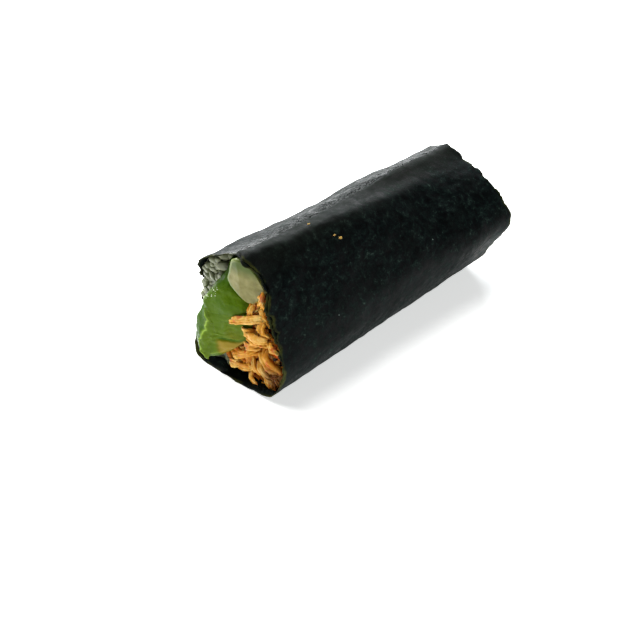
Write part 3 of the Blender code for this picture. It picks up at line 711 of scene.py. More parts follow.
def buildLowerSlice(material):
    piece = lowerSlice
    curve = closedCurve(piece["outline"], curveSteps)
    onLeft = fade(curve[:, 0], *piece["leftFade"])
    atSeam = fade(curve[:, 1], *piece["seamFade"])
    inwards = curve.mean(axis=0) - curve
    inwards /= np.linalg.norm(inwards, axis=1)[:, None]
    ridgeUp, ridgeAcross = openCurve(piece["ridge"], piece["ridgeSteps"]).T
    bulge = piece["bulge"] * (1 - fade(curve[:, 1], *piece["bulgeFade"]))
    ridgeInset = curve[:, 0] + bulge - np.interp(curve[:, 1], ridgeUp, ridgeAcross)
    ridgeShare = ridgeInset / piece["nearRows"][1][1]

    def shaped(row):
        rounding = row[2] * (1 - onLeft) * (1 - atSeam)
        left = (row[1] * ridgeShare - bulge) * onLeft if any(row) else 0 * onLeft
        return curve + inwards * rounding[:, None] - np.stack([left, 0 * left], axis=1)

    points, along, mark = filledRings(curve, shaped, avocadoFace, piece)
    nearRidge = bell(mark - 1.0, piece["ridgeWidth"]) * onLeft * (1 - fade(points[..., 1], *piece["topFade"]))
    wandering = bell(mark - piece["wanderMark"], piece["wanderWidth"]) * onLeft
    points[..., 0] += wander(points[..., 1], piece["ridgeWander"], piece["wanderSeed"]) * wandering
    level, beading, pace = piece["ridgeBeads"]
    along = along - piece["ridgeHeight"] * nearRidge * (level + beading * np.sin(points[..., 1] * pace))
    onFace = (mark < piece["faceTo"]) * (1 - nearRidge)
    flatPlace = np.stack([along * 0, *np.moveaxis(points, -1, 0)], axis=-1)
    warp = piece["knifeWarp"] * lumps(flatPlace, piece["knifeWarpSize"], piece["knifeSeed"])
    slanted = points[..., 1] + piece["knifeSlant"] * points[..., 0]
    along = along - piece["knifeDepth"] * np.sin(tau * slanted / piece["knifeStep"] + warp) * onFace
    (x0, y0), (x1, y1) = piece["paleLine"]
    below = y0 + (points[..., 0] - x0) * (y1 - y0) / (x1 - x0) - points[..., 1]
    crack = bell(below, piece["crackWidth"]) * fade(points[..., 0], *piece["crackFade"]) * onFace
    along = along + piece["crackDepth"] * crack
    rings = roughened(placed(points, along), piece)
    pale = fade(below, *piece["belowFade"]) * fade(points[..., 0], *piece["paleFade"])
    ripe = ripeness(piece, points)
    ripe = ripe + (1.0 - ripe) * pale - piece["crackShade"] * crack
    behindRidge = smooth((mark - 1.0) / piece["skinSide"]) * onLeft
    ripe = ripe * (1 - behindRidge) + piece["skinRipe"] * behindRidge
    # ridge: where the painted highlight along the cut edge lies
    ridge = nearRidge * (mark < innerMark)
    return loftPiece("avocadoLower", [(rings, {"ripe": ripe, "ridge": ridge})], material)


def buildSlice(name, piece, nearFace, rounded, attributes, material):
    curve = closedCurve(piece["outline"], curveSteps)

    def shaped(row):
        return curve + inwardsOf(curve, row[1] * rounded(curve))

    points, along, mark = filledRings(curve, shaped, nearFace, piece)
    rings = roughened(placed(points, along), piece)
    bodies = [(rings, attributes(points, mark))]
    if "beadsFrom" in piece:
        across, up = piece["beadsFrom"]
        lowest, highest = piece["beadMarks"]
        onRim = (mark > lowest) & (mark < highest) & (points[..., 0] > across) & (points[..., 1] > up)
        bodies += oilBeads(rings[onRim & (points[..., 1] < up + piece["beadRise"])], piece["seed"])
    return loftPiece(name, bodies, material)


def ballGrid(tip, rings, sides):
    # Angles from pole to pole and round, for a ball whose poles are cut off at the angle tip
    polar = np.linspace(tip, math.pi - tip, rings)[:, None]
    return polar, np.linspace(0, tau, sides, endpoint=False)[None, :]


def oilBeads(places, seed):
    # Small beads of oil at the cut edge, coloured pale as a painted glint, with a mirror shine as well
    draw = random.Random(seed)
    polar, turned = ballGrid(*avocado["beadGrid"])
    ball = np.stack([-np.cos(polar) + 0 * turned, np.sin(polar) * np.cos(turned),
                     np.sin(polar) * np.sin(turned)], axis=-1)
    flat = np.zeros(ball.shape[:2])
    marks = {"ripe": flat + avocado["beadRipe"], "ridge": flat, "wet": flat + 1.0}
    bodies = []
    for place in draw.sample(places.tolist(), avocado["beads"]):
        stretch = [avocado["beadHeight"]] + [draw.uniform(*limits) for limits in avocado["beadStretch"]]
        bodies.append((place + ball * (np.array(stretch) * draw.uniform(*avocado["beadRadius"])), marks))
    return bodies


def roundedUpper(curve):
    # Not where the upper slice lies on the lower one, so that no groove shows between them
    lowDown, inFrom = upperSlice["squareFades"]
    return 1 - fade(curve[:, 1], *lowDown) * fade(curve[:, 0], *inFrom)


def roundedAllRound(curve):
    return np.ones(len(curve))


def upperRipeness(points, mark):
    ripe = ripeness(upperSlice, points)
    return {"ripe": ripe, "ridge": 0 * ripe, "wet": 0 * ripe}


def cucumberParts(points, mark):
    # rim: where the paler rim lies, partly glassy flesh and partly painted highlight
    onRim = fade(mark, *cucumberBaton["rimFade"]) * (mark < innerMark)
    onRim = onRim * fade(points[..., 0], *cucumberBaton["rimSide"])
    return {"rim": onRim, "skin": fade(points[..., 1], *cucumberBaton["skinFade"])}


cucumber = {
    "vein": 2.4,  # mm
    "grain": 0.8,
    "grainDepth": 0.06,
    "colours": ((0.3, "#6b6634"), (0.5, "#797443"), (0.7, "#878250")),
    "skinColour": "#4a5820",
    "glassRimHighlightColour": "#76804e",
}


def cucumberFlesh():
    # Cucumber without its skin, cut square: pale watery flesh, green near the skin, and a paler rim on
    # the left that is partly its glassy edge and partly a painted highlight
    material, shader = newMaterial("cucumberFlesh", IOR=1.36, Roughness=0.3, Subsurface_Weight=0.4,
                                   Subsurface_Scale=0.002, Coat_Weight=0.08, Coat_Roughness=0.12,
                                   Specular_IOR_Level=0.15, Subsurface_Radius=(0.9, 1.0, 0.5))
    place = addNode(material, "TexCoord").outputs["Object"]
    skin, rim = (addNode(material, "Attribute", {"attribute_name": name}).outputs["Fac"]
                 for name in ("skin", "rim"))
    vein = addNode(material, "TexNoise", {"Scale": 1000 / cucumber["vein"], "Detail": 3.0},
                   {"Vector": place})
    flesh = addNode(material, "ValToRGB", {"stops": cucumber["colours"]}, {"Fac": vein})
    green = addNode(material, "MixRGB", {"Color2": linear(cucumber["skinColour"])},
                    {"Fac": skin, "Color1": flesh})
    edgeHighlighted = addNode(material, "MixRGB", {"Color2": linear(cucumber["glassRimHighlightColour"])},
                    {"Fac": rim, "Color1": green})
    grain = addNode(material, "TexNoise", {"Scale": 1000 / cucumber["grain"], "Detail": 3.0},
                    {"Vector": place})
    bump = addNode(material, "Bump", {"Strength": 1.0, "Distance": cucumber["grainDepth"] / 1000},
                   {"Height": grain})
    linkTo(material, shader, {"Base Color": edgeHighlighted, "Normal": bump})
    return material


avocadoLook = avocadoFlesh()
upperLook = (avocadoFace, roundedUpper, upperRipeness, avocadoLook)
cucumberLook = (cucumberFace, roundedAllRound, cucumberParts, cucumberFlesh())
fillings = (
    (buildLowerSlice(avocadoLook), "avocado_lower", "avocado"),
    (buildSlice("avocadoUpper", upperSlice, *upperLook), "avocado_upper", "avocado"),
    (buildSlice("cucumberBaton", cucumberBaton, *cucumberLook), "cucumber", "cucumber"),
)
for piece, node, slot in fillings:
    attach(piece, "root")
    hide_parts(node)
print("avocado and cucumber done")


def inside(points, outline):
    points = np.atleast_2d(points)
    crossings = np.zeros(len(points), int)
    for a, b in zip(outline, outline[1:] + outline[:1]):
        if a[1] == b[1]:
            continue
        spans = (a[1] > points[:, 1]) != (b[1] > points[:, 1])
        reach = a[0] + (points[:, 1] - a[1]) / (b[1] - a[1]) * (b[0] - a[0])
        crossings += spans & (points[:, 0] < reach)
    return crossings % 2 == 1


# The rice
rice = {
    "angles": (-86, -70, -50, -25, 0, 25, 45, 62, 76, 84),  # degrees round the roll
    "depths": (3.0, 3.4, 4.6, 3.6, 3.4, 6.6, 9.4, 9.0, 5.2, 2.6),
    "starts": (4.6, 4.6, 4.4, 4.0, 4.6, 4.0, 2.2, 2.2, 4.6, 6.0),  # where the layer begins
    "end": 103.4,
    "endRoom": 0.3,  # the core ends this far before it, and the outermost grains behind it
    "startBefore": 0.4,
    "coreBehind": 0.4,
    "coreSteps": (40, 12),
    "coreTone": 0.35,
    "seed": 5,
    "grain": (5.0, 2.8, 2.6),
    "sizes": (0.86, 1.1),
    "grainGrid": (0.10, 10, 12),  # the tips' angle, the rings and the sides
    "blunt": 0.8,
    "dent": 0.12,
    "dentWidth": 0.2,
    "bend": 0.18,
    "tilt": 0.5,  # radians, at most
    "turn": 1.4,
    "spacing": 2.5,
    "looseness": 1.1,
    "firstTurn": (0.02, 0.08),  # radians from the layer's edges to its first and last grain
    "lastTurn": 0.02,
    "shift": (0.4, 0.03),  # mm along, and radians round
    "rowPlace": (0.35, 0.65),
    "layers": (1.3, 1.9, 2.9),  # how deep each layer of grains lies
    "reach": 0.9,  # how far a grain may stand out
    "farReach": 0.6,
    "starch": 0.9,  # mm, the uneven sticky film
    "starchDepth": 0.08,
    # white rice coloured a dull grey: painted shade, as it lies in shadow inside the sheet
    "colours": ((0.0, "#73775c"), (0.5, "#797d63"), (1.0, "#80836b")),
}


def riceDepth(angle):
    return np.interp(np.degrees(angle), rice["angles"], rice["depths"])


def riceStart(angle):
    return np.interp(np.degrees(angle), rice["angles"], rice["starts"])


def ricePoint(angle, depthShare, along):
    thinner = rollRadius(angle, along) / rollRadius(angle, 0.0)
    return sectionPoint(angle, roomRadius(angle, along) - depthShare * riceDepth(angle) * thinner, along)


def turnMatrix(draw):
    tilt, turn = rice["tilt"], rice["turn"]
    a, b, c = draw.uniform(0, tau), draw.uniform(-tilt, tilt), draw.uniform(-turn, turn)
    spin = np.array([[1, 0, 0], [0, math.cos(a), -math.sin(a)], [0, math.sin(a), math.cos(a)]])
    nod = np.array([[math.cos(b), 0, math.sin(b)], [0, 1, 0], [-math.sin(b), 0, math.cos(b)]])
    yaw = np.array([[math.cos(c), -math.sin(c), 0], [math.sin(c), math.cos(c), 0], [0, 0, 1]])
    return yaw @ nod @ spin


def grainRings(draw):
    # One cooked grain: blunt, a little bent, and dented on one side
    size = np.array(rice["grain"]) * draw.uniform(*rice["sizes"])
    polar, turned = ballGrid(*rice["grainGrid"])
    blunt = np.sin(polar) ** rice["blunt"]
    dent = 1 - rice["dent"] * np.exp(-((np.cos(turned - draw.uniform(0, tau)) - 1) ** 2) / rice["dentWidth"])
    x = -np.cos(polar) * np.ones_like(turned)
    y = blunt * np.cos(turned) * dent + rice["bend"] * draw.uniform(-1, 1) * (x**2)
    z = blunt * np.sin(turned) * dent
    return np.stack([x * size[0], y * size[1], z * size[2]], axis=-1) / 2


def trimmedGrain(grain, first, last):
    # Kept inside the sheet, and from standing out too far at either end
    offset = grain[..., 1:] - roll["axis"]
    around = np.clip(np.arctan2(offset[..., 1], offset[..., 0]), first, last)
    reach = np.minimum(roomRadius(around, grain[..., 0]), np.hypot(offset[..., 0], offset[..., 1]))
    front = np.maximum(grain[..., 0], riceStart(around) - rice["reach"])
    return sectionPoint(around, reach, np.minimum(front, roll["length"] + rice["farReach"]))


def buildRice():
    draw = random.Random(rice["seed"])
    first, last = math.radians(rice["angles"][0]), math.radians(rice["angles"][-1])
    cores = []
    angle = np.linspace(first, last, rice["coreSteps"][0])
    for share in np.linspace(0, 1, rice["coreSteps"][1]):
        start = riceStart(angle) + rice["coreBehind"]
        along = start + (rice["end"] - rice["endRoom"] - start) * share
        cores.append(np.concatenate([ricePoint(angle, 0.0, along), ricePoint(angle, 1.0, along)[::-1]]))
    core = np.array(cores)
    bodies = [(core, {"tone": np.full(core.shape[:2], rice["coreTone"])})]
    outlines = [piece["outline"] for piece in (lowerSlice, upperSlice, cucumberBaton)]
    lengthShift, turnShift = rice["shift"]
    for atFarEnd, layer in itertools.product((False, True), rice["layers"]):
        angle = first + draw.uniform(*rice["firstTurn"])
        while angle < last - rice["lastTurn"]:
            depth = riceDepth(angle)
            rows = max(1, round(depth / rice["spacing"]))
            for row in range(rows):
                along = rice["end"] + rice["endRoom"] - layer
                if not atFarEnd:
                    along = riceStart(angle) - rice["startBefore"] + layer
                along += draw.uniform(-lengthShift, lengthShift)
                at = angle + draw.uniform(-turnShift, turnShift)
                centre = ricePoint(at, (row + draw.uniform(*rice["rowPlace"])) / rows, along)
                grain = grainRings(draw) @ turnMatrix(draw).T + centre
                place = ricePoint(at, (row + 0.5) / rows, 0.0)[1:]
                if any(inside(place, outline)[0] for outline in outlines):
                    continue
                grain = trimmedGrain(grain, first, last)
                bodies.append((grain, {"tone": np.full(grain.shape[:2], draw.random())}))
            angle += rice["spacing"] * rice["looseness"] / (rollRadius(angle, 0.0) - depth / 2)
    return loftPiece("riceGrains", bodies, cookedRice())


def cookedRice():
    # Steamed short-grain rice, coloured a dull grey as painted shade: its starch lets light in, with a thin
    # sticky gloss
    material, shader = newMaterial("cookedRice", IOR=1.4, Roughness=0.38, Subsurface_Weight=0.5,
                                   Subsurface_Scale=0.0014, Coat_Weight=0.05, Coat_Roughness=0.2,
                                   Specular_IOR_Level=0.3, Subsurface_Radius=(1.0, 0.95, 0.8))
    place = addNode(material, "TexCoord").outputs["Object"]
    tone = addNode(material, "Attribute", {"attribute_name": "tone"}).outputs["Fac"]
    colour = addNode(material, "ValToRGB", {"stops": rice["colours"]}, {"Fac": tone})
    starch = addNode(material, "TexNoise", {"Scale": 1000 / rice["starch"], "Detail": 3.0}, {"Vector": place})
    bump = addNode(material, "Bump", {"Strength": 1.0, "Distance": rice["starchDepth"] / 1000},
                   {"Height": starch})
    linkTo(material, shader, {"Base Color": colour, "Normal": bump})
    return material


riceGrains = buildRice()
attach(riceGrains, "root")
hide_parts("rice")
print("rice done")

# The shredded surimi
surimi = {
    "outline": (
        (-6.0, 34.2), (-2.4, 30.0), (-2.8, 21.0), (4.2, 14.0), (10.5, 8.6), (9.0, 0.2),
        (-8.0, 0.2), (-15.0, 3.6), (-18.6, 14.0), (-16.5, 27.0), (-12.8, 36.4), (-9.4, 36.0),
    ),
    # The shreds that stand out at the near end: along, across and up, then width and thickness
    "strips": (
        (((0.4, -10.0, 36.8), (-0.6, -12.0, 35.2), (0.0, -9.8, 31.6)), 2.1, 1.6),
        (((0.6, -6.7, 32.0), (-0.7, -6.5, 29.6), (0.4, -6.3, 26.6)), 1.7, 1.3),
        (((1.2, -1.6, 28.2), (0.2, -5.4, 27.6)), 1.8, 1.4),
        (((-2.2, 1.2, 24.2), (-1.9, -3.0, 25.6), (-0.9, -9.0, 28.2), (0.6, -12.4, 29.6)), 2.0, 1.5),
        (((0.6, -9.4, 32.6), (-0.2, -11.0, 29.4), (0.6, -12.4, 26.0)), 1.5, 1.2),
        (((-0.4, -2.6, 21.6), (-1.4, -5.0, 22.2), (0.4, -8.4, 22.8)), 2.2, 1.8),
        (((0.2, -11.0, 28.4), (-1.7, -11.6, 26.2), (0.2, -12.7, 23.2)), 2.8, 1.8),
        (((-0.6, -3.8, 20.4), (-2.1, -8.6, 21.6), (-1.8, -12.0, 22.2), (0.2, -15.6, 23.0)), 2.7, 1.9),
        (((-0.6, -13.2, 23.4), (-1.4, -15.8, 21.4), (0.6, -16.6, 19.0)), 2.0, 1.5),
        (((-0.2, -2.4, 16.2), (-1.5, -6.2, 17.6), (0.2, -10.2, 19.4)), 2.1, 1.5),
        (((-1.0, 0.2, 12.2), (-1.7, -4.8, 14.8), (0.2, -9.6, 17.8)), 1.8, 1.3),
        (((0.4, -10.8, 20.0), (-1.5, -12.2, 16.6), (-0.4, -15.2, 13.6), (1.4, -16.0, 11.4)), 3.4, 2.1),
        (((1.4, -4.8, 13.6), (-0.6, -7.0, 10.6), (1.2, -9.6, 6.8)), 1.7, 1.3),
        (((1.4, -7.6, 14.8), (-0.5, -9.8, 11.2), (1.2, -12.2, 7.4)), 1.7, 1.3),
        (((1.8, -2.2, 12.2), (0.4, -3.6, 9.4), (2.0, -5.0, 6.4)), 1.5, 1.2),
        (((1.2, 4.4, 5.8), (0.0, -1.0, 7.2), (0.8, -7.4, 9.8)), 2.0, 1.4),
        (((1.6, -3.4, 7.4), (0.2, -4.6, 4.6), (1.6, -6.2, 2.0)), 1.7, 1.2),
        (((2.6, -10.8, 11.4), (1.2, -13.6, 9.6), (3.0, -15.0, 7.4)), 2.4, 1.8),
        (((2.6, 5.8, 6.8), (1.4, 3.0, 8.2), (2.6, -0.4, 9.4)), 1.7, 1.3),
        (((1.8, 7.0, 5.0), (0.2, 3.4, 6.4), (1.2, -0.8, 7.6)), 2.2, 1.5),
        (((1.4, 4.6, 9.0), (0.0, 1.6, 10.4), (1.0, -2.0, 11.6)), 2.4, 1.5),
    ),
    # Bits that stuck to the sheet: along, degrees round the roll, length and width
    "crumbs": ((33.0, 116.0, 1.1, 0.8), (31.5, 112.5, 0.8, 0.4), (26.5, 97.0, 0.7, 0.5)),
    "outlineSteps": 6,
    "start": 1.4,
    "undercut": 3.4,  # how much further in it begins low down
    "undercutFade": (9.0, -8.0),
    "end": 103.0,
    "coreMargin": 0.4,
    "coreBehind": 0.3,
    "coreTone": 0.1,
    "lumpSize": 1.6,
    "lumpHeight": 0.8,
    "lumpReach": 10.0,
    "lumpSeed": 51,
    "seed": 11,
    "margin": 0.02,
    "nearLoose": 75,
    "farLoose": 120,
    "threads": 120,  # fine threads that have come off the strips
    "farShare": 0.5,
    "thin": (0.3, 0.4),  # a thread's width and thickness, as shares of a strip's
    "strands": 3,  # that each strip is made of
    "oneStrand": 0.75,  # mm, the width below which it has only one
    "tones": (0.5, 1.0),
    "toneShift": 0.15,
    "nearReach": 1.6,  # how far the shreds stand out at the near and far end
    "farReach": 0.4,
    # how far in from the end the shreds darken: painted shade
    "deepShadeFade": (1.0, 2.4),
    "shade": 0.9,  # painted shade: how dark it is low down on the right of the near end
    "shadeAcross": (-8.0, -5.0),
    "shadeUp": (17.0, -7.0),
    "shadeTo": 20.0,
    "sauce": 3.4,  # mm, pools of dressing
    "paint": 3.8,  # the red side of the sticks
    "fibres": 7.0,  # that show round one strand
    "fibreDepth": 0.05,
    "colours": ((0.42, "#964406"), (0.6, "#b06814"), (0.8, "#c48a30"), (0.98, "#dcb262")),
    "fibreShare": 0.16,  # how much the fibres, the sauce and a strand's own tone change the colour
    "sauceShift": -0.08,
    "toneShare": 0.45,
    "paintRange": {"From Min": 0.57, "From Max": 0.66, "To Max": 0.7},
    "paintColour": "#b43a18",
    "deepShadeColour": "#4e2208",
}
strand = {  # how one strand is shaped
    "rings": 14,
    "sides": 7,
    "samples": 60,
    "length": 9.0,  # mm that its bends are laid out over, each with a length and a height
    "bends": ((6.0, 0.07), (2.3, 0.05)),
    "lean": 0.6,
    "twist": 1.0,
    "cut": 0.03,  # the share left out at each end
    "tip": 0.3,
    "taper": 0.4,  # below 1 it thickens soon after its tip
    "swellLength": 10.0,
    "swells": ((5.0, 0.14), (1.7, 0.12)),
    "ragged": (0.93, 1.07),
    "flat": 0.2,  # how oval and how ribbed its section is
    "rib": 0.16,
    "ribTwist": 4.0,
}
shred = {  # how strands make up a shred
    "points": 9,
    "spread": 0.34,  # shares of the shred's width or thickness
    "depth": 0.15,
    "splay": 0.7,
    "trim": 0.22,
    "overlap": 0.4,
    "strandWidth": (1.6, 2.3),
    "strandDepth": (0.5, 0.8),
}
loose = {  # where the shreds that no list places may lie, and their sizes
    "across": (-17, 7),
    "up": (2, 35),
    "slant": (0.35, 0.9),  # radians, the usual one and its spread
    "reach": (2.0, 4.4),
    "bend": 0.3,
    "nearBefore": 0.5,
    "farBehind": 0.9,
    "behind": (-0.6, 0.8),
    "arch": 0.9,
    "width": (1.0, 2.3),
    "thickness": (0.8, 1.4),
}
crumb = {  # how each crumb lies on the sheet, and its colour
    "lift": 0.2,
    "flatness": 0.7,
    "tone": 1.4,
    "deep": 0.2,
}


def surimiStart(points):
    return surimi["start"] + surimi["undercut"] * fade(points[..., 1], *surimi["undercutFade"])


def sideways(along):
    side = np.cross(along, (1.0, 0.0, 0.0))
    return side / np.maximum(1e-6, np.linalg.norm(side, axis=1))[:, None]


def strandRings(path, width, thickness, trims, draw):
    # One strand: uneven, flattened, and drawn out to a thread at its torn ends
    rings, sides, samples = strand["rings"], strand["sides"], strand["samples"]
    t = np.linspace(*trims, rings)
    fine = openCurve(path, samples)
    path = np.stack([np.interp(t, np.linspace(0, 1, samples), fine[:, k]) for k in range(3)], axis=1)
    bends = [wander(t * strand["length"], strand["bends"], draw.randrange(999)) for _ in range(3)]
    path += np.stack(bends, axis=1)
    along = np.gradient(path, axis=0)
    along /= np.linalg.norm(along, axis=1)[:, None]
    side = sideways(along)
    normal = np.cross(side, along)
    lean, twist = strand["lean"], strand["twist"]
    twist = (draw.uniform(-lean, lean) + draw.uniform(-twist, twist) * t)[:, None]
    turned = normal * np.cos(twist) - side * np.sin(twist)
    side = side * np.cos(twist) + normal * np.sin(twist)
    corner = np.linspace(0, tau, sides, endpoint=False)[None, :]
    share = np.linspace(strand["cut"], 1 - strand["cut"], rings)
    body = strand["tip"] + (1 - strand["tip"]) * np.sin(math.pi * share) ** strand["taper"]
    swells = wander(share * strand["swellLength"], strand["swells"], draw.randrange(999))
    body = (body * (1 + swells))[:, None]
    ragged = [[draw.uniform(*strand["ragged"]) for _ in range(sides)] for _ in range(rings)]
    flats = strand["flat"] * np.sin(2 * corner + draw.uniform(0, tau))
    ribs = strand["rib"] * np.sin(3 * corner + strand["ribTwist"] * share[:, None])
    facets = (1 + flats + ribs) * np.array(ragged)
    wide = np.cos(corner) * facets * body * width / 2
    deep = np.sin(corner) * facets * body * thickness / 2
    return path[:, None] + side[:, None] * wide[..., None] + turned[:, None] * deep[..., None]


def stripBodies(path, width, thickness, strands, draw):
    # One shred: a few strands side by side, which part at its frayed ends
    path = openCurve(path, shred["points"])
    side = sideways(np.gradient(path, axis=0))
    t = np.linspace(-1, 1, shred["points"])[:, None]
    spread, depth = shred["spread"], shred["depth"]
    bodies = []
    for place in np.linspace(-spread, spread, strands) if strands > 1 else (0.0,):
        splay = 1 + draw.uniform(0.0, shred["splay"]) * t**2
        moved = path + side * place * width * splay + (draw.uniform(-depth, depth) * thickness, 0.0, 0.0)
        trims = (draw.uniform(0.0, shred["trim"]), draw.uniform(1 - shred["trim"], 1.0))
        strandWidth = width * draw.uniform(*shred["strandWidth"]) / (strands + shred["overlap"])
        strandDepth = thickness * draw.uniform(*shred["strandDepth"])
        bodies.append(strandRings(moved, strandWidth, strandDepth, trims, draw))
    return bodies


def looseStrip(draw, atFarEnd):
    while True:
        point = np.array([draw.uniform(*loose["across"]), draw.uniform(*loose["up"])])
        if inside(point, surimi["outline"])[0]:
            break
    slant = draw.gauss(*loose["slant"])
    reach = np.array([math.cos(slant), -math.sin(slant)]) * draw.uniform(*loose["reach"])
    bend = np.array([-reach[1], reach[0]]) * draw.uniform(-loose["bend"], loose["bend"])
    outwards = 1 if atFarEnd else -1
    face = roll["length"] - loose["farBehind"] if atFarEnd else surimiStart(point) - loose["nearBefore"]
    front = face - outwards * draw.uniform(*loose["behind"])
    back = front - outwards * loose["arch"]
    path = [placed(point - reach, back), placed(point + bend, front), placed(point + reach, back)]
    return path, draw.uniform(*loose["width"]), draw.uniform(*loose["thickness"])


def surimiCore():
    curve = closedCurve(surimi["outline"], surimi["outlineSteps"])
    middle = curve.mean(axis=0)
    margin = surimi["coreMargin"]
    rings = []
    for share in (*capShares, 1.0):
        points = middle + (curve - middle) * share
        rings.append(placed(points, surimiStart(points) + surimi["coreBehind"], margin))
    for along in roll["stations"]:
        rings.append(placed(curve, along, margin))
    for share in (1.0, *capShares[::-1]):
        rings.append(placed(middle + (curve - middle) * share, surimi["end"], margin))
    core = np.array(rings)
    bumps = lumps(core, surimi["lumpSize"], surimi["lumpSeed"]) * surimi["lumpHeight"]
    core[..., 0] += bumps * nearEnds(core[..., 0], surimi["lumpReach"])
    return core


def shredMarks(body, number, tone):
    # Where each point lies on its shred, how red the shred is, and how deep among the others it lies,
    # which darkens it as painted shade
    length = roll["length"] + surimi["farReach"] - body[..., 0]
    fromFace = np.minimum(body[..., 0] - surimiStart(body[..., 1:]) + surimi["nearReach"], length)
    deep = fade(fromFace, *surimi["deepShadeFade"])
    shade = fade(body[..., 1], *surimi["shadeAcross"]) * fade(body[..., 2], *surimi["shadeUp"])
    deep = np.maximum(deep, surimi["shade"] * shade * (body[..., 0] < surimi["shadeTo"]))
    run, around = runAndAround(body)
    return {"tone": 0 * run + tone, "deep": deep, "around": around + number, "run": run}


def runAndAround(body):
    return np.meshgrid(*(np.linspace(0, 1, count) for count in body.shape[:2]), indexing="ij")


def buildSurimi():
    draw = random.Random(surimi["seed"])
    core = surimiCore()
    plain = np.zeros(core.shape[:2])
    # the core takes the full painted shade colour
    marks = {"tone": plain + surimi["coreTone"], "deep": plain + 1.0, "around": plain, "run": plain}
    bodies = [(core, marks)]
    strips = [(path, width, thickness, draw.uniform(*surimi["tones"]))
              for path, width, thickness in surimi["strips"]]
    for count, atFarEnd in ((surimi["nearLoose"], False), (surimi["farLoose"], True)):
        strips += [(*looseStrip(draw, atFarEnd), draw.random()) for _ in range(count)]
    threads = []
    for _ in range(surimi["threads"]):
        path, width, thickness = looseStrip(draw, draw.random() < surimi["farShare"])
        threads.append((path, width * surimi["thin"][0], thickness * surimi["thin"][1], draw.random()))
    toneShift = surimi["toneShift"]
    for path, width, thickness, tone in strips + threads:
        strands = 1 if width < surimi["oneStrand"] else surimi["strands"]
        for body in stripBodies(path, width, thickness, strands, draw):
            body = keptIn(body, surimi["margin"])
            strandTone = tone + draw.uniform(-toneShift, toneShift)
            bodies.append((body, shredMarks(body, len(bodies), strandTone)))
    for along, degrees, length, width in surimi["crumbs"]:
        ends = np.linspace(-0.5, 0.5, 4) * length + along
        angle = np.radians(degrees)
        path = sectionPoint(angle, rollRadius(angle, ends) + crumb["lift"], ends)
        body = strandRings(path, width, crumb["flatness"] * width, (0.0, 1.0), draw)
        run, around = runAndAround(body)
        tone, deep = 0 * run + crumb["tone"], 0 * run + crumb["deep"]
        bodies.append((body, {"tone": tone, "deep": deep, "around": around, "run": run}))
    return loftPiece("surimiShreds", bodies, dressedSurimi())


def dressedSurimi():
    # Crab-style fish sticks pulled into shreds and dressed with chilli mayonnaise: cream fibres, orange
    # sauce, and red where the stick's painted side shows; painted shade darkens the shreds deep in the roll
    material, shader = newMaterial("dressedSurimi", IOR=1.42, Roughness=0.42, Subsurface_Weight=0.3,
                                   Subsurface_Scale=0.0008, Coat_Weight=0.04, Coat_Roughness=0.15,
                                   Specular_IOR_Level=0.06, Subsurface_Radius=(1.0, 0.55, 0.25))
    place = addNode(material, "TexCoord").outputs["Object"]
    tone, deep, around, run = (addNode(material, "Attribute", {"attribute_name": name}).outputs["Fac"]
                               for name in ("tone", "deep", "around", "run"))
    sauce = addNode(material, "TexNoise", {"Scale": 1000 / surimi["sauce"], "Detail": 4.0, "Roughness": 0.7},
                    {"Vector": place})
    onStrand = addNode(material, "CombineXYZ", None, {"X": around, "Y": run})
    drawnOut = addNode(material, "Mapping", {"Scale": (surimi["fibres"], 2.0, 1.0)}, {"Vector": onStrand})
    fibre = addNode(material, "TexNoise", {"Scale": 1.0, "Detail": 3.0, "Roughness": 0.6},
                    {"Vector": drawnOut})
    streaky = addNode(material, "Math", {"operation": "MULTIPLY_ADD", 1: surimi["fibreShare"]},
                      {0: fibre, 2: sauce})
    lower = addNode(material, "Math", {"operation": "ADD", 1: surimi["sauceShift"]}, {0: streaky})
    mixed = addNode(material, "Math", {"operation": "MULTIPLY_ADD", 1: surimi["toneShare"]},
                    {0: tone, 2: lower})
    colour = addNode(material, "ValToRGB", {"stops": surimi["colours"]}, {"Fac": mixed})
    painted = addNode(material, "TexNoise", {"Scale": 1000 / surimi["paint"], "Detail": 2.0},
                      {"Vector": place})
    redness = addNode(material, "MapRange", surimi["paintRange"], {"Value": painted})
    red = addNode(material, "MixRGB", {"Color2": linear(surimi["paintColour"])},
                  {"Fac": redness, "Color1": colour})
    # Painted shade: deep among the shreds and low on the right the colour goes dark brown
    deepShaded = addNode(material, "MixRGB", {"Color2": linear(surimi["deepShadeColour"])},
                     {"Fac": deep, "Color1": red})
    bump = addNode(material, "Bump", {"Strength": 1.0, "Distance": surimi["fibreDepth"] / 1000},
                   {"Height": fibre})
    linkTo(material, shader, {"Base Color": deepShaded, "Normal": bump})
    return material


surimiShreds = buildSurimi()
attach(surimiShreds, "root")
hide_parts("surimi")
print("surimi done")

# The studio: a pale floor, a broad light overhead, and a panel and a small lamp behind
studio = {
    "floorSize": 4.0,
    "floorColour": "#f4f5f4",
    "floorGlow": 0.72,  # keeps the shadow pale, as on a light table
    "floorBelow": 0.0002,
    "camera": (-0.19198, -0.16570, 0.17086),
    "azimuth": 43.43,  # degrees from +X towards +Y
    "down": 34.25,
    "lens": 51.49,  # mm
    "sensor": 36.0,
    "clip": (0.01, 20.0),
    "target": (0.0, 0.0, 0.02),
    # place, width and height of the panel in metres, watts, colour
    "lights": (
        ("topPanel", (-0.15, 0.45, 1.0), (1.0, 1.0), 18.0, "#ffffff"),
        ("backPanel", (0.55, 0.75, 0.5), (0.9, 0.32), 15.0, "#f6fbff"),
        ("keyLamp", (0.05, 0.75, 0.7), (0.12, 0.12), 9.0, "#ffffff"),
    ),
    "world": ("#c8ccd0", 0.16),
}


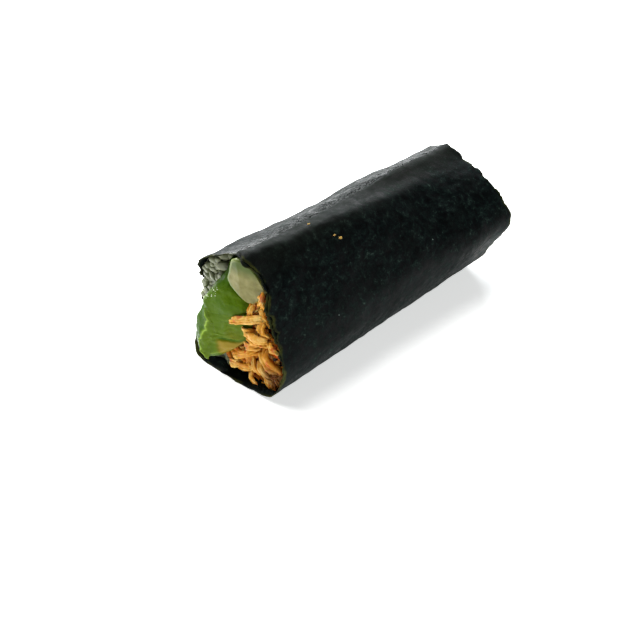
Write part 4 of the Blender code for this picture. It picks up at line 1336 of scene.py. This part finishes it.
def buildStudio():
    mesh = bpy.data.meshes.new("floor")
    half = studio["floorSize"] / 2
    level = solidBox[0].z - studio["floorBelow"]
    corners = [(-half, -half, level), (half, -half, level), (half, half, level), (-half, half, level)]
    mesh.from_pydata(corners, [], [(0, 1, 2, 3)])
    colour = linear(studio["floorColour"])
    material, _ = newMaterial("paleFloor", Roughness=0.7, Base_Color=colour, Emission_Color=colour,
                              Emission_Strength=studio["floorGlow"])
    mesh.materials.append(material)
    floor = bpy.data.objects.new("floor", mesh)
    bpy.context.scene.collection.objects.link(floor)
    floor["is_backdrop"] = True

    for name, place, size, watts, colour in studio["lights"]:
        light = bpy.data.lights.new(name, "AREA")
        light.shape = "RECTANGLE"
        light.size, light.size_y = size
        light.energy = watts
        light.color = linear(colour)[:3]
        lamp = bpy.data.objects.new(name, light)
        lamp.location = place
        lamp.rotation_euler = (Vector(studio["target"]) - Vector(place)).to_track_quat("-Z", "Y").to_euler()
        bpy.context.scene.collection.objects.link(lamp)

    world = bpy.data.worlds.new("studio")
    world.use_nodes = True
    background = world.node_tree.nodes["Background"]
    background.inputs["Color"].default_value = linear(studio["world"][0])
    background.inputs["Strength"].default_value = studio["world"][1]
    bpy.context.scene.world = world

    azimuth, down = math.radians(studio["azimuth"]), math.radians(studio["down"])
    facing = Vector((math.cos(azimuth) * math.cos(down), math.sin(azimuth) * math.cos(down), -math.sin(down)))
    camera = bpy.data.objects.new("camera", bpy.data.cameras.new("camera"))
    camera.location = studio["camera"]
    camera.rotation_euler = facing.to_track_quat("-Z", "Y").to_euler()
    camera.data.lens = studio["lens"]
    camera.data.sensor_width = studio["sensor"]
    camera.data.clip_start, camera.data.clip_end = studio["clip"]
    bpy.context.scene.collection.objects.link(camera)
    bpy.context.scene.camera = camera
    bpy.context.scene.view_settings.view_transform = "Standard"


buildStudio()
print("studio done")

bpy.context.view_layer.update()
boxes = {"solids": solidBox, "visual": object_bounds()}
{key: [list(corner) for corner in corners] for key, corners in boxes.items()}
